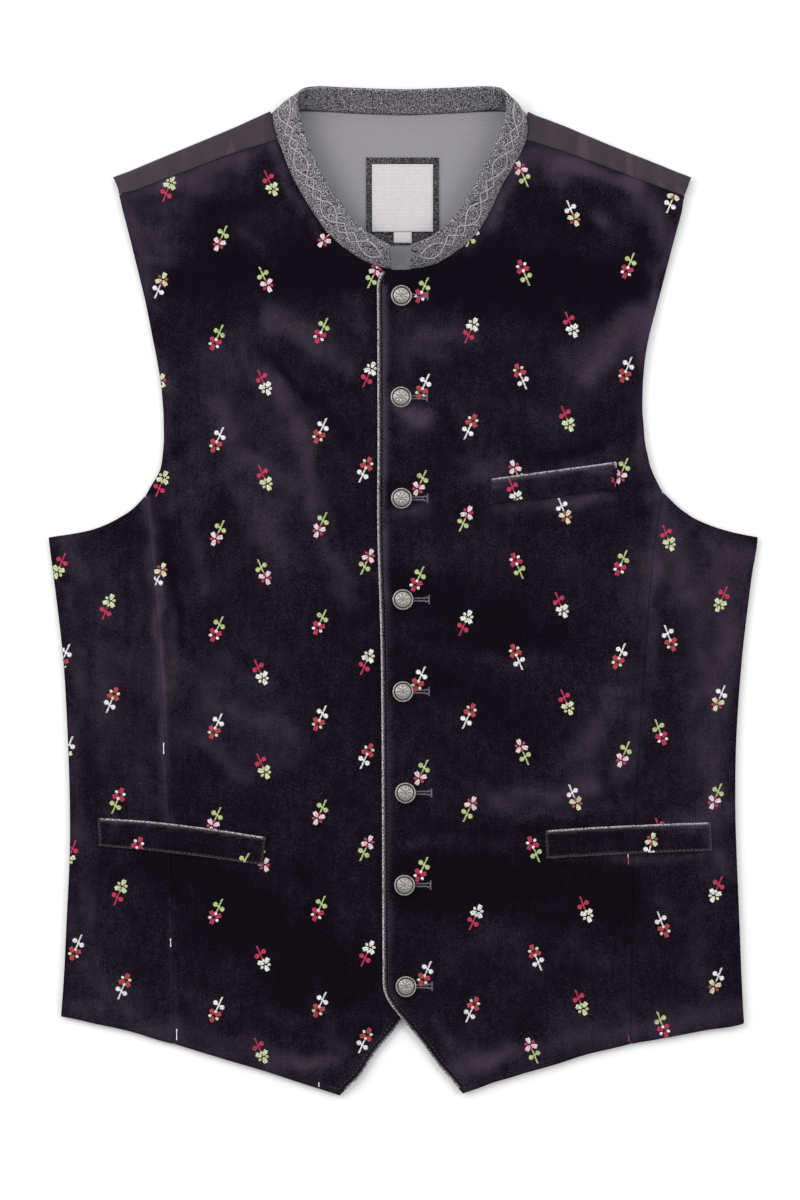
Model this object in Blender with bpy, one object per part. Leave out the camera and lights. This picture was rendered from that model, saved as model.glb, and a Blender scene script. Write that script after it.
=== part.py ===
"""An embroidered folk waistcoat, buttoned up and laid flat on its back.

The frame is in metres. +X runs to the wearer's left, which is on the right as the front is seen,
+Y runs up the garment to the collar, and +Z up off the surface that it lies on. The origin is on
that surface, at the middle of the garment's width and length.

The garment is a flattened tube. The back lies underneath and rolls forward over the shoulders to
the shoulder seams. The two fronts lie on it, the left over the right, each with a side panel.
The collar goes on from the neckline as a band that stands half up off the surface.
"""

import bisect
import math
from collections import namedtuple

import bmesh
import bpy
from mathutils import Matrix, Vector

MM = 0.001

# Walls and gaps, in metres
BACK_WALL = 1.2 * MM
LINING_WALL = 1.0 * MM
FRONT_WALL = 2.0 * MM
COLLAR_WALL = 2.5 * MM
WELT_WALL = 1.8 * MM
LABEL_WALL = 1.0 * MM
SEAM_GAP = 0.35 * MM
LAYER_GAP = 0.3 * MM
RELIEF_GAP = 0.5 * MM  # between layers that both follow the folds, as their facets differ
RIM_SHARE = 0.28  # share of a wall's thickness that its rounded rim takes off each edge

# How the layers lie, in metres
REST_LIFT = 0.6 * MM  # the fronts' slack above the back
NECK_LIFT = 2.3 * MM  # what the shoulders' roll and the collar lift the fronts by, on top of that
NECK_REACH = 1.85  # where that lift ends below the collar, in half neck widths and neck depths
NECK_FADE = 0.6  # how soon before that it starts to fade
SHOULDER_ROLL = 2.4 * MM  # radius of the back's roll over the shoulder, at the middle of its wall
SHOULDER_REACH = 75 * MM  # how far below the shoulder seam its lift fades out
STRIP_BOW = 1.3 * MM  # how far the strip's neck edge bows round the collar
BACK_INSET = 1.5 * MM  # how far the back's sides and armholes lie inside the fronts'
UNDER_TUCK = 1.5 * MM  # how far the hidden corner of the right front lies below the left's
SEAM_DIP = 0.35 * MM  # how deep the panel seams lie in the velvet
SEAM_DIP_REACH = 7 * MM
CALM_REACH = 30 * MM  # how far in from the side seams the folds fade out
STEP_CLEAR = 6 * MM  # how far past the right front's edge the left one stays up
STEP_FADE = 15 * MM  # how far it then takes to come down

# Neck and its lining, in metres: ellipses about a centre on the shoulders' line
NECK_CENTRE = 321 * MM
NECK_HALF_WIDTH = 88.3 * MM
NECK_DEPTH = 100 * MM
LINING_HALF_WIDTH = 103 * MM
LINING_DEPTH = 117 * MM
LINING_FOOT = 212 * MM
LINING_TOP_HALF_WIDTH = 81 * MM
LINING_INSET = 0.8 * MM  # how far the lining's top lies below the back's

# Collar, in metres
COLLAR_HEIGHT = 22 * MM
COLLAR_SEAM = 1.7 * MM  # from the neckline to the middle of the collar's wall
COLLAR_BULGE = 0.8 * MM
COLLAR_REACH = 3.4 * MM  # how much nearer the middle the left end of the collar is than the right
COLLAR_STEP_END = 300 * MM  # above this the left half is as low as the right one
COLLAR_STEPS = 3

# Buttons and buttonholes, in metres
BUTTON_RADIUS = 7.6 * MM
SHANK_RADIUS = 1.0 * MM
BUTTON_CLEARANCE = 0.45 * MM
HOLE_LENGTH = 20 * MM
HOLE_WIDTH = 3.0 * MM
HOLE_START = 2.2 * MM  # how far the hole runs past the shank towards the front's edge
HOLE_CUT = 30 * MM  # height of the cutter
HOLE_END_SIDES = 3
BUTTON_SIDES = 16

# Divisions of the back, the lining and the welts
STRIP_COLUMNS = 6
BACK_NECK_COLUMNS = 3
BACK_ROWS = 20
ROLL_STEPS = 5
STRIP_STEPS = 3
LINING_ROWS = 9
LINING_HALF_COLUMNS = 5
WELT_COLUMNS = 10

Spot = namedtuple("Spot", "out up")
Fold = namedtuple("Fold", "x1 y1 x2 y2 width height")
Band = namedtuple("Band", "seam_out seam_up seam_z free_out free_up")
Welt = namedtuple("Welt", "name x y length width tilt")
Button = namedtuple("Button", "x y")
Turned = namedtuple("Turned", "radius height")
Label = namedtuple("Label", "name low high width level material")
Finish = namedtuple("Finish", "colour roughness metallic")

# Outlines of one half, in millimetres: out from the centre front, up from the origin
SIDE = [
    Spot(235.3, -295.0),
    Spot(233.9, -275.7),
    Spot(230.5, -192.9),
    Spot(229.4, -151.5),
    Spot(231.5, -82.5),
    Spot(233.9, -41.1),
    Spot(243.9, 36.9),
]
ARMHOLE_BASE = [
    Spot(243.9, 36.9),
    Spot(220.1, 41.5),
    Spot(201.5, 48.3),
    Spot(186.0, 59.0),
    Spot(178.4, 67.3),
]
ARMHOLE_RISE = [
    Spot(178.4, 67.3),
    Spot(171.5, 79.7),
    Spot(165.9, 100.4),
    Spot(164.9, 121.1),
    Spot(165.9, 141.8),
    Spot(172.8, 183.2),
    Spot(182.5, 224.6),
    Spot(195.0, 271.2),
]
PANEL_SEAM = [
    Spot(157.0, -312.2),
    Spot(158.0, -246.7),
    Spot(160.4, -154.2),
    Spot(166.3, -59.0),
    Spot(169.4, -13.5),
    Spot(173.5, 31.4),
    Spot(178.4, 67.3),
]
SIDE_HEM = [
    Spot(157.0, -312.2),
    Spot(193.2, -305.7),
    Spot(220.8, -299.5),
    Spot(235.3, -295.0),
]
FRONT_HEM = [
    Spot(157.0, -312.2),
    Spot(124.2, -321.5),
    Spot(96.6, -329.8),
    Spot(69.0, -338.4),
    Spot(43.8, -347.1),
]
CUTAWAY = [
    Spot(43.8, -347.1),
    Spot(1.6, -296.8),
    Spot(-9.5, -283.0),
    Spot(-12.9, -276.5),
    Spot(-13.5, -269.0),
]
FRONT_EDGE = [
    Spot(-13.5, -269.0),
    Spot(-14.5, -60.0),
    Spot(-18.6, 205.0),
    Spot(-18.0, 215.5),
    Spot(-14.0, 220.8),
]
SHOULDER_SEAM = [
    Spot(195.0, 271.2),
    Spot(159.0, 284.9),
    Spot(128.3, 296.9),
    Spot(85.9, 310.8),
]
NECKLINE = [
    Spot(85.9, 310.8),
    Spot(83.5, 304.8),
    Spot(78.0, 291.5),
    Spot(66.9, 271.5),
    Spot(54.5, 250.7),
    Spot(45.5, 240.5),
    Spot(31.7, 230.0),
    Spot(20.7, 224.4),
    Spot(8.0, 221.2),
]
TOP_EDGE = [Spot(8.0, 221.2), Spot(-14.0, 220.8)]
SHOULDER_FOLD = [Spot(198.4, 284.6), Spot(89.4, 329.8)]
BACK_NECKLINE = [
    Spot(89.4, 329.8),
    Spot(71.8, 331.6),
    Spot(38.0, 330.2),
    Spot(0.0, 328.8),
]
BACK_HEM = [Spot(0.0, -288.0), Spot(120.0, -290.0), Spot(235.3, -293.5)]

# The collar's sections from its front end to the centre back, in millimetres
COLLAR = [
    Band(8.3, 221.2, 5.4, 8.8, 236.9),
    Band(20.7, 224.4, 5.4, 17.9, 242.2),
    Band(31.7, 230.0, 5.4, 25.5, 247.4),
    Band(45.5, 240.5, 5.4, 34.5, 256.0),
    Band(54.5, 250.7, 5.4, 40.9, 264.6),
    Band(66.9, 271.5, 5.4, 51.0, 279.8),
    Band(78.0, 291.5, 5.4, 60.3, 298.0),
    Band(85.0, 308.5, 5.4, 67.0, 314.2),
    Band(88.2, 321.0, 5.0, 70.8, 327.4),
    Band(88.0, 327.4, 4.4, 71.8, 335.8),
    Band(83.6, 329.8, 4.0, 70.6, 341.6),
    Band(75.8, 329.6, 3.9, 66.8, 345.4),
    Band(60.0, 329.5, 3.8, 57.0, 346.6),
    Band(38.0, 328.1, 3.8, 36.2, 345.7),
    Band(0.0, 326.7, 3.8, 0.0, 344.6),
]

# The fronts' largest folds as soft ridges, in millimetres, from one end to the other
FOLDS = [
    Fold(160, 175, 52, 78, 26, 1.9),
    Fold(-140, 225, -55, 80, 26, 1.7),
    Fold(60, 38, 140, 30, 24, 1.1),
    Fold(-126, 20, -138, -112, 22, 1.4),
    Fold(205, 5, 196, -120, 22, 1.3),
    Fold(-212, -20, -200, -110, 22, 1.1),
    Fold(-205, -215, -112, -276, 24, 1.3),
    Fold(38, -305, 88, -248, 22, 1.4),
    Fold(-75, -90, -35, -20, 24, 1.1),
    Fold(45, -95, 120, -120, 24, 1.1),
    Fold(172, -230, 205, -275, 22, 1.0),
    Fold(-70, -215, -40, -290, 22, 1.1),
]

# Pocket welts, in millimetres and degrees
WELTS = [
    Welt("welt_chest", 104.9, 74.6, 87.8, 17.2, 7.7),
    Welt("welt_left", 155.8, -172.2, 114.0, 19.2, 2.7),
    Welt("welt_right", -152.0, -173.0, 114.0, 19.2, -6.5),
]

# Buttons from the neck down, in millimetres
BUTTONS = [
    Button(-0.7, 203.2),
    Button(-1.0, 133.5),
    Button(-0.7, 63.8),
    Button(0.3, -5.9),
    Button(0.3, -69.3),
    Button(2.0, -139.0),
    Button(1.4, -202.5),
    Button(2.4, -272.2),
]
# A button's turned outline over its own seat, in millimetres, from the dome down to the shank
BUTTON_PROFILE = [
    Turned(0.0, 3.9),
    Turned(3.4, 3.5),
    Turned(5.7, 2.5),
    Turned(6.3, 2.1),
    Turned(7.0, 2.5),
    Turned(7.6, 1.7),
    Turned(7.1, 0.5),
    Turned(1.9, 0.0),
]

# The label in the neck, in millimetres: its pieces lie level on level on the lining
LABELS = [
    Label("label_patch", 238.5, 298.8, 50.0, 0, "patch_felt"),
    Label("label", 247.6, 294.0, 42.0, 1, "label_weave"),
    Label("size_tag", 239.8, 247.2, 12.4, 1, "label_weave"),
]

FINISHES = {
    "velvet": Finish((0.022, 0.015, 0.028), 0.85, 0.0),
    "back_satin": Finish((0.045, 0.036, 0.048), 0.55, 0.0),
    "lining_twill": Finish((0.30, 0.29, 0.31), 0.7, 0.0),
    "collar_felt": Finish((0.13, 0.13, 0.145), 0.95, 0.0),
    "patch_felt": Finish((0.055, 0.055, 0.062), 0.95, 0.0),
    "label_weave": Finish((0.78, 0.76, 0.76), 0.8, 0.0),
    "button_metal": Finish((0.36, 0.34, 0.33), 0.45, 0.9),
}

# Heights of the middles of the lower walls, in metres
BACK_MIDDLE = BACK_WALL / 2
LINING_MIDDLE = BACK_WALL + LAYER_GAP + LINING_WALL / 2
LINING_TOP = LINING_MIDDLE + LINING_WALL / 2
FRONT_MIDDLE = BACK_WALL + LAYER_GAP + FRONT_WALL / 2
OVERLAP_STEP = FRONT_WALL + RELIEF_GAP


def start_empty():
    """Removes what the file opened with."""
    for thing in list(bpy.data.objects):
        bpy.data.objects.remove(thing)


def smooth_step(share):
    """0 at 0 and below, 1 at 1 and above, with soft ends."""
    share = min(1.0, max(0.0, share))
    return share * share * (3 - 2 * share)


def curve_through(spots, steps=12):
    """Points in metres on a smooth curve through a table's rows."""
    knots = [Vector(spot) * MM for spot in spots]
    if len(knots) == 2:
        return [knots[0].lerp(knots[1], i / steps) for i in range(steps + 1)]
    lengths = [(b - a).length for a, b in zip(knots, knots[1:])]
    slopes = [(b - a) / d for a, b, d in zip(knots, knots[1:], lengths)]
    tangents = [slopes[0]]
    for i in range(1, len(slopes)):
        before, after = lengths[i - 1], lengths[i]
        tangents.append((slopes[i - 1] * after + slopes[i] * before) / (before + after))
    tangents.append(slopes[-1])
    points = [knots[0]]
    for i, span in enumerate(lengths):
        for step in range(1, steps + 1):
            t = step / steps
            points.append(
                knots[i] * (2 * t**3 - 3 * t**2 + 1)
                + tangents[i] * span * (t**3 - 2 * t**2 + t)
                + knots[i + 1] * (3 * t**2 - 2 * t**3)
                + tangents[i + 1] * span * (t**3 - t**2)
            )
    return points


class Path:
    """Smooth curves joined end to end, with a corner at each join, measured along their length."""

    def __init__(self, *curves):
        self.points = []
        self.corners = []
        for curve in curves:
            self.points += curve
            self.corners.append(len(self.points) - 1)
        self.marks = [0.0]
        for a, b in zip(self.points, self.points[1:]):
            self.marks.append(self.marks[-1] + (b - a).length)
        self.length = self.marks[-1]

    def at(self, share):
        """The point at a share of the length."""
        mark = share * self.length
        i = min(max(bisect.bisect_right(self.marks, mark) - 1, 0), len(self.points) - 2)
        span = self.marks[i + 1] - self.marks[i]
        return self.points[i].lerp(self.points[i + 1], (mark - self.marks[i]) / span if span else 0)

    def corner_shares(self):
        """The shares of the length at which the corners lie, the far end included."""
        return [self.marks[i] / self.length for i in self.corners]


def inset(curve, distance):
    """The curve moved sideways, to the right of its direction if distance is positive."""
    moved = []
    for i, point in enumerate(curve):
        along = (curve[min(i + 1, len(curve) - 1)] - curve[max(i - 1, 0)]).normalized()
        moved.append(point + Vector((along.y, -along.x)) * distance)
    return moved


def shares_through(stops, counts):
    """Evenly spaced shares between the stops, with the given number of steps in each stretch."""
    shares = [0.0]
    for start, end, count in zip([0.0, *stops], stops, counts):
        shares += [start + (end - start) * (i + 1) / count for i in range(count)]
    return shares


def patch(bottom, top, near, far, us, vs):
    """Rows of points that fill a four-sided outline. bottom and top run from near to far."""
    corners = bottom.at(0), bottom.at(1), top.at(0), top.at(1)
    rows = []
    for v in vs:
        row = []
        for u in us:
            point = bottom.at(u) * (1 - v) + top.at(u) * v + near.at(v) * (1 - u) + far.at(v) * u
            point -= corners[0] * ((1 - u) * (1 - v)) + corners[1] * (u * (1 - v))
            point -= corners[2] * ((1 - u) * v) + corners[3] * (u * v)
            row.append(point)
        rows.append(row)
    return rows


def distance_to_line(x, y, fold):
    """How far a point lies from a fold's line, in metres."""
    start = Vector((fold.x1, fold.y1)) * MM
    line = Vector((fold.x2, fold.y2)) * MM - start
    offset = Vector((x, y)) - start
    share = min(1.0, max(0.0, offset.dot(line) / line.length_squared))
    return (offset - line * share).length


def half_width_at(spots, y):
    """A steep outline's distance from the centre front at a height, in metres."""
    rows = sorted(spots, key=lambda spot: spot.up)
    ups = [spot.up * MM for spot in rows]
    i = min(max(bisect.bisect_right(ups, y) - 1, 0), len(rows) - 2)
    share = min(1.0, max(0.0, (y - ups[i]) / (ups[i + 1] - ups[i])))
    return (rows[i].out * (1 - share) + rows[i + 1].out * share) * MM


def neck_lift(x, y):
    """What the shoulders' roll and the collar lift the fronts by."""
    from_neck = math.hypot(x / NECK_HALF_WIDTH, (y - NECK_CENTRE) / NECK_DEPTH)
    near_neck = smooth_step((NECK_REACH - from_neck) / NECK_FADE)
    seam_start, seam_end = SHOULDER_SEAM[0], SHOULDER_SEAM[-1]
    slope = (seam_end.up - seam_start.up) / (seam_start.out - seam_end.out)
    seam_y = seam_start.up * MM + (seam_start.out * MM - abs(x)) * slope
    near_shoulder = smooth_step(1 - (seam_y - y) / SHOULDER_REACH)
    return NECK_LIFT * (1 - (1 - near_neck) * (1 - near_shoulder))


def front_height(x, y):
    """The height of the middle of a front's wall where it lies on the back."""
    ridges = 0.0
    for fold in FOLDS:
        away = distance_to_line(x, y, fold) / (fold.width * MM)
        ridges += fold.height * MM * math.exp(-(away**2))
    if y < SIDE[-1].up * MM:
        ridges *= smooth_step(abs(half_width_at(SIDE, y) - abs(x)) / CALM_REACH)
    dip = 0.0
    if y < PANEL_SEAM[-1].up * MM:
        from_seam = (abs(x) - half_width_at(PANEL_SEAM, y)) / SEAM_DIP_REACH
        dip = SEAM_DIP * math.exp(-(from_seam**2))
    return FRONT_MIDDLE + REST_LIFT + neck_lift(x, y) + ridges - dip


def overlap_step(x, y):
    """How much higher the left front lies than it would without the right front under it."""
    under_edge = -half_width_at(FRONT_EDGE + CUTAWAY[1:-1], y)
    return OVERLAP_STEP * smooth_step((under_edge + STEP_CLEAR + STEP_FADE - x) / STEP_FADE)


def left_front_height(x, y):
    """The height of the middle of the left front's wall, which crosses the right front's edge."""
    return front_height(x, y) + overlap_step(x, y)


def new_object(name, mesh, finish):
    """An object with the named finish, linked to the scene."""
    material = bpy.data.materials.get(finish)
    if material is None:
        look = FINISHES[finish]
        material = bpy.data.materials.new(finish)
        material.use_nodes = True
        shader = material.node_tree.nodes["Principled BSDF"]
        shader.inputs["Base Color"].default_value = (*look.colour, 1)
        shader.inputs["Roughness"].default_value = look.roughness
        shader.inputs["Metallic"].default_value = look.metallic
        material.diffuse_color = (*look.colour, 1)
    mesh.materials.append(material)
    thing = bpy.data.objects.new(name, mesh)
    bpy.context.scene.collection.objects.link(thing)
    return thing


def cloth(name, rows, wall, finish, extra_rows=()):
    """A wall of cloth around rows of points that lie in its middle, with a rounded rim.

    extra_rows are strips that go on from the last row: each is the column where the strip starts
    and its rows of points.
    """
    shape = bmesh.new()
    grid = [[shape.verts.new(point) for point in row] for row in rows]
    strips = [grid]
    for start, more in extra_rows:
        edge = grid[-1][start : start + len(more[0])]
        strips.append([edge] + [[shape.verts.new(point) for point in row] for row in more])
    for strip in strips:
        for below, above in zip(strip, strip[1:]):
            for i in range(len(below) - 1):
                shape.faces.new((below[i], below[i + 1], above[i + 1], above[i]))
    mesh = bpy.data.meshes.new(name)
    shape.to_mesh(mesh)
    shape.free()
    mesh.shade_smooth()
    thing = new_object(name, mesh, finish)
    solid = thing.modifiers.new("wall", "SOLIDIFY")
    solid.thickness = wall
    solid.offset = 0
    solid.use_even_offset = True
    rim = thing.modifiers.new("rim", "BEVEL")
    rim.width = wall * RIM_SHARE
    rim.segments = 1
    rim.limit_method = "ANGLE"
    rim.angle_limit = math.radians(50)
    return thing


def side_rows(side, rows, height):
    """Rows of the half's points on one side of the garment, each at its height."""
    placed = []
    for row in rows:
        points = [Vector((point.x * side, point.y)) for point in row]
        placed.append([Vector((p.x, p.y, height(p.x, p.y))) for p in (points if side < 0 else points)])
    return placed if side < 0 else [row[::-1] for row in placed]


def make_front(name, side, height):
    """One front's centre panel, from the panel seam to past the centre front."""
    tuck = UNDER_TUCK if side < 0 else 0.0
    top_edge = [point - Vector((0, tuck)) for point in curve_through(TOP_EDGE)]
    edge = curve_through(FRONT_EDGE)
    edge = [point - Vector((0, tuck * smooth_step(i / len(edge)))) for i, point in enumerate(edge)]
    bottom = Path(curve_through(FRONT_HEM))
    top = Path(curve_through(SHOULDER_SEAM), curve_through(NECKLINE), top_edge)
    near = Path(curve_through(PANEL_SEAM), curve_through(ARMHOLE_RISE))
    far = Path(curve_through(CUTAWAY), edge)
    us = shares_through(top.corner_shares(), (6, 9, 2))
    low_corner = far.corner_shares()[0]
    stops = [low_corner * 0.78, low_corner, near.corner_shares()[0], 0.975, 1.0]
    vs = shares_through(stops, (4, 4, 15, 10, 3))
    return cloth(name, side_rows(side, patch(bottom, top, near, far, us, vs), height), FRONT_WALL, "velvet")


def make_side_panel(name, side):
    """The velvet panel between a front's panel seam and the side seam."""
    shift = Vector((SEAM_GAP, 0))
    seam = [point + shift for point in curve_through(PANEL_SEAM)]
    hem = curve_through(SIDE_HEM)
    armhole = curve_through(ARMHOLE_BASE)[::-1]
    hem = [point + shift * (1 - i / len(hem)) for i, point in enumerate(hem)]
    armhole = [point + shift * (1 - i / len(armhole)) for i, point in enumerate(armhole)]
    rows = patch(
        Path(hem),
        Path(armhole),
        Path(seam),
        Path(curve_through(SIDE)),
        shares_through([1.0], (5,)),
        shares_through([1.0], (20,)),
    )
    rows = [row[::-1] for row in rows]
    return cloth(name, side_rows(side, rows, front_height), FRONT_WALL, "velvet")


def flipped(curve):
    """A half's curve on the other side of the garment."""
    return [Vector((-point.x, point.y)) for point in curve]


def shoulder_roll(edge, away):
    """Rows of points that carry the back's edge round the shoulder and on to the front's side."""
    rows = []
    for step in range(1, ROLL_STEPS + 1):
        angle = math.pi * (step / ROLL_STEPS - 0.5)
        reach = away * (SHOULDER_ROLL * math.cos(angle))
        rise = Vector((0, 0, SHOULDER_ROLL * (1 + math.sin(angle))))
        rows.append([point + reach + rise for point in edge])
    return rows


def shoulder_strip(start, side, away):
    """Rows of points that go on from the roll to just short of the front's shoulder seam."""
    seam = Path(curve_through(SHOULDER_SEAM))
    rows = []
    for step in range(1, STRIP_STEPS + 1):
        row = []
        for i, point in enumerate(start):
            share = i / STRIP_COLUMNS if side < 0 else 1 - i / STRIP_COLUMNS
            goal = seam.at(share)
            goal = Vector((goal.x * side, goal.y, 0)) + away * SEAM_GAP
            goal.z = front_height(goal.x, goal.y)
            done = step / STRIP_STEPS
            bow = STRIP_BOW * share**4 * math.sin(math.pi * done)
            row.append(point.lerp(goal, done) + Vector((bow * side, 0, 0)))
        rows.append(row)
    return rows


def make_back():
    """The back: a flat sheet that rolls forward over each shoulder to the shoulder seam."""
    line = Vector(SHOULDER_FOLD[0]) - Vector(SHOULDER_FOLD[1])
    outward = Vector((-line.y, line.x)).normalized()
    fold = [point - outward * SHOULDER_ROLL for point in curve_through(SHOULDER_FOLD)]
    fold[0] = fold[0] - Vector((BACK_INSET, 0))
    neckline = curve_through(BACK_NECKLINE)[1:]
    armhole = curve_through(ARMHOLE_BASE)[:-1] + curve_through(ARMHOLE_RISE)
    side = inset(curve_through(SIDE), -BACK_INSET) + inset(armhole, -BACK_INSET)
    hem_end = BACK_HEM[-1].up * MM
    side = [point for point in side if point.y > hem_end]
    side = [Vector((side[0].x, hem_end)), *side, fold[0]]
    hem = curve_through(BACK_HEM)
    hem[-1] = side[0]
    bottom = Path(flipped(hem)[::-1], hem)
    top = Path(flipped(fold), flipped(neckline), neckline[::-1], fold[::-1])
    columns = (STRIP_COLUMNS, BACK_NECK_COLUMNS, BACK_NECK_COLUMNS, STRIP_COLUMNS)
    us = shares_through(top.corner_shares(), columns)
    vs = shares_through([1.0], (BACK_ROWS,))
    flat = patch(bottom, top, Path(flipped(side)), Path(side), us, vs)
    rows = [[Vector((point.x, point.y, BACK_MIDDLE)) for point in row] for row in flat]
    strips = []
    for sign, start in ((-1, 0), (1, len(us) - 1 - STRIP_COLUMNS)):
        away = Vector((outward.x * sign, outward.y, 0))
        more = shoulder_roll(rows[-1][start : start + STRIP_COLUMNS + 1], away)
        more += shoulder_strip(more[-1], sign, away)
        strips.append((start, more))
    return cloth("back", rows, BACK_WALL, "back_satin", strips)


def make_lining():
    """The back's lining as far as it shows in the neck, tucked a little way under the fronts."""
    neckline = Path(curve_through(BACK_NECKLINE)[2:])
    rows = []
    for step in range(LINING_ROWS, -1, -1):
        share = step / LINING_ROWS
        row = []
        for i in range(-LINING_HALF_COLUMNS, LINING_HALF_COLUMNS + 1):
            across = abs(i) / LINING_HALF_COLUMNS
            top = neckline.at(1 - across)
            y = (top.y - LINING_INSET) * (1 - share) + LINING_FOOT * share
            arc = LINING_HALF_WIDTH * math.sqrt(max(0.0, 1 - ((y - NECK_CENTRE) / LINING_DEPTH) ** 2))
            x = min(top.x, LINING_TOP_HALF_WIDTH) * (1 - share) + arc * across * share
            row.append(Vector((math.copysign(x, i), y, LINING_MIDDLE)))
        rows.append(row)
    return cloth("back_lining", rows, LINING_WALL, "lining_twill")


def collar_sections(side):
    """The middle of the collar's wall at each section of one half: its lower and its free end."""
    sections = []
    for band in COLLAR:
        base = Vector((band.seam_out, band.seam_up, band.seam_z)) * MM
        tip = Vector((band.free_out, band.free_up, 0)) * MM
        plan = Vector((tip.x - base.x, tip.y - base.y, 0))
        start = base + plan.normalized() * COLLAR_SEAM
        if side > 0 and base.y < COLLAR_STEP_END:
            start.z += overlap_step(base.x, base.y)
        end = Vector((tip.x, tip.y, start.z + math.sqrt(COLLAR_HEIGHT**2 - plan.length_squared)))
        if side > 0 and not sections:
            start.x -= COLLAR_REACH
            end.x -= COLLAR_REACH
        sections.append((Vector((start.x * side, start.y, start.z)), Vector((end.x * side, end.y, end.z))))
    return sections


def make_collar():
    """The stand collar: one band on the whole neckline, its ends a little apart at the front."""
    sections = collar_sections(1) + collar_sections(-1)[-2::-1]
    starts = spread([start for start, end in sections])
    ends = spread([end for start, end in sections])
    rows = []
    for step in range(COLLAR_STEPS + 1):
        share = step / COLLAR_STEPS
        row = []
        for i, (start, end) in enumerate(zip(starts, ends)):
            along = (starts[min(i + 1, len(starts) - 1)] - starts[max(i - 1, 0)]).normalized()
            outward = along.cross(end - start).normalized()
            row.append(start.lerp(end, share) + outward * (COLLAR_BULGE * 4 * share * (1 - share)))
        rows.append(row)
    return cloth("collar", rows, COLLAR_WALL, "collar_felt")


def spread(knots, steps=2):
    """More points on a smooth curve through the knots."""
    points = [knots[0]]
    for i in range(len(knots) - 1):
        before = knots[max(i - 1, 0)]
        after = knots[min(i + 2, len(knots) - 1)]
        for step in range(1, steps + 1):
            t = step / steps
            a, b = knots[i], knots[i + 1]
            points.append(
                (a * 2 + (b - before) * t + (before * 2 - a * 5 + b * 4 - after) * t**2
                 + (a * 3 - before - b * 3 + after) * t**3) / 2
            )
    return points


def make_welt(welt):
    """A pocket's welt: a strip that lies on the front and follows its folds."""
    centre = Vector((welt.x, welt.y)) * MM
    turn = Matrix.Rotation(math.radians(welt.tilt), 2)
    height = left_front_height if welt.x > 0 else front_height
    over = FRONT_WALL / 2 + RELIEF_GAP + WELT_WALL / 2
    rows = []
    for across in (-0.5, 0, 0.5):
        row = []
        for step in range(WELT_COLUMNS + 1):
            offset = turn @ Vector(((step / WELT_COLUMNS - 0.5) * welt.length, across * welt.width)) * MM
            point = centre + offset
            row.append(Vector((point.x, point.y, height(point.x, point.y) + over)))
        rows.append(row)
    return cloth(welt.name, rows, WELT_WALL, "velvet")


def make_button(number, button):
    """A domed metal button on a shank that goes through the left front to the right one."""
    x, y = button.x * MM, button.y * MM
    seat = left_front_height(x, y) + FRONT_WALL / 2 + BUTTON_CLEARANCE
    foot = front_height(x, y) + FRONT_WALL / 2 + LAYER_GAP
    outline = [(spot.radius * MM, seat + spot.height * MM) for spot in BUTTON_PROFILE]
    outline += [(SHANK_RADIUS, seat - 0.2 * MM), (SHANK_RADIUS, foot), (0.0, foot)]
    shape = bmesh.new()
    profile = [shape.verts.new((radius, 0, height)) for radius, height in outline]
    edges = [shape.edges.new(pair) for pair in zip(profile, profile[1:])]
    bmesh.ops.spin(
        shape,
        geom=profile + edges,
        cent=(0, 0, 0),
        axis=(0, 0, 1),
        angle=math.tau,
        steps=BUTTON_SIDES,
    )
    bmesh.ops.remove_doubles(shape, verts=shape.verts, dist=0.01 * MM)
    bmesh.ops.recalc_face_normals(shape, faces=shape.faces)
    mesh = bpy.data.meshes.new(f"button_{number}")
    shape.to_mesh(mesh)
    shape.free()
    mesh.shade_smooth()
    mesh.set_sharp_from_angle(angle=math.radians(35))
    thing = new_object(f"button_{number}", mesh, "button_metal")
    thing.location = (x, y, 0)
    return thing


def cut_buttonhole(front, number, button):
    """Cuts the slit that a button's shank goes through, with round ends."""
    radius = HOLE_WIDTH / 2
    start = button.x * MM - HOLE_START
    shape = bmesh.new()
    rim = []
    for middle, first in ((start + HOLE_LENGTH - radius, -90), (start + radius, 90)):
        for turn in range(HOLE_END_SIDES + 1):
            angle = math.radians(first + 180 * turn / HOLE_END_SIDES)
            x = middle + radius * math.cos(angle)
            y = button.y * MM + radius * math.sin(angle)
            rim.append(shape.verts.new((x, y, 0)))
    face = shape.faces.new(rim)
    made = bmesh.ops.extrude_face_region(shape, geom=[face])
    top = [item for item in made["geom"] if isinstance(item, bmesh.types.BMVert)]
    bmesh.ops.translate(shape, verts=top, vec=(0, 0, HOLE_CUT))
    bmesh.ops.recalc_face_normals(shape, faces=shape.faces)
    mesh = bpy.data.meshes.new(f"hole_cutter_{number}")
    shape.to_mesh(mesh)
    shape.free()
    cutter = bpy.data.objects.new(f"hole_cutter_{number}", mesh)
    bpy.context.scene.collection.objects.link(cutter)
    cutter.hide_render = True
    cutter.display_type = "WIRE"
    cut = front.modifiers.new(f"buttonhole_{number}", "BOOLEAN")
    cut.operation = "DIFFERENCE"
    cut.object = cutter


def make_label_piece(label):
    """A flat piece of the neck label, on the lining or on the patch."""
    level_height = LINING_TOP + LAYER_GAP + label.level * (LABEL_WALL + LAYER_GAP) + LABEL_WALL / 2
    half = label.width / 2 * MM
    rows = [
        [Vector((-half, y * MM, level_height)), Vector((half, y * MM, level_height))]
        for y in (label.low, label.high)
    ]
    return cloth(label.name, rows, LABEL_WALL, label.material)


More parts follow.
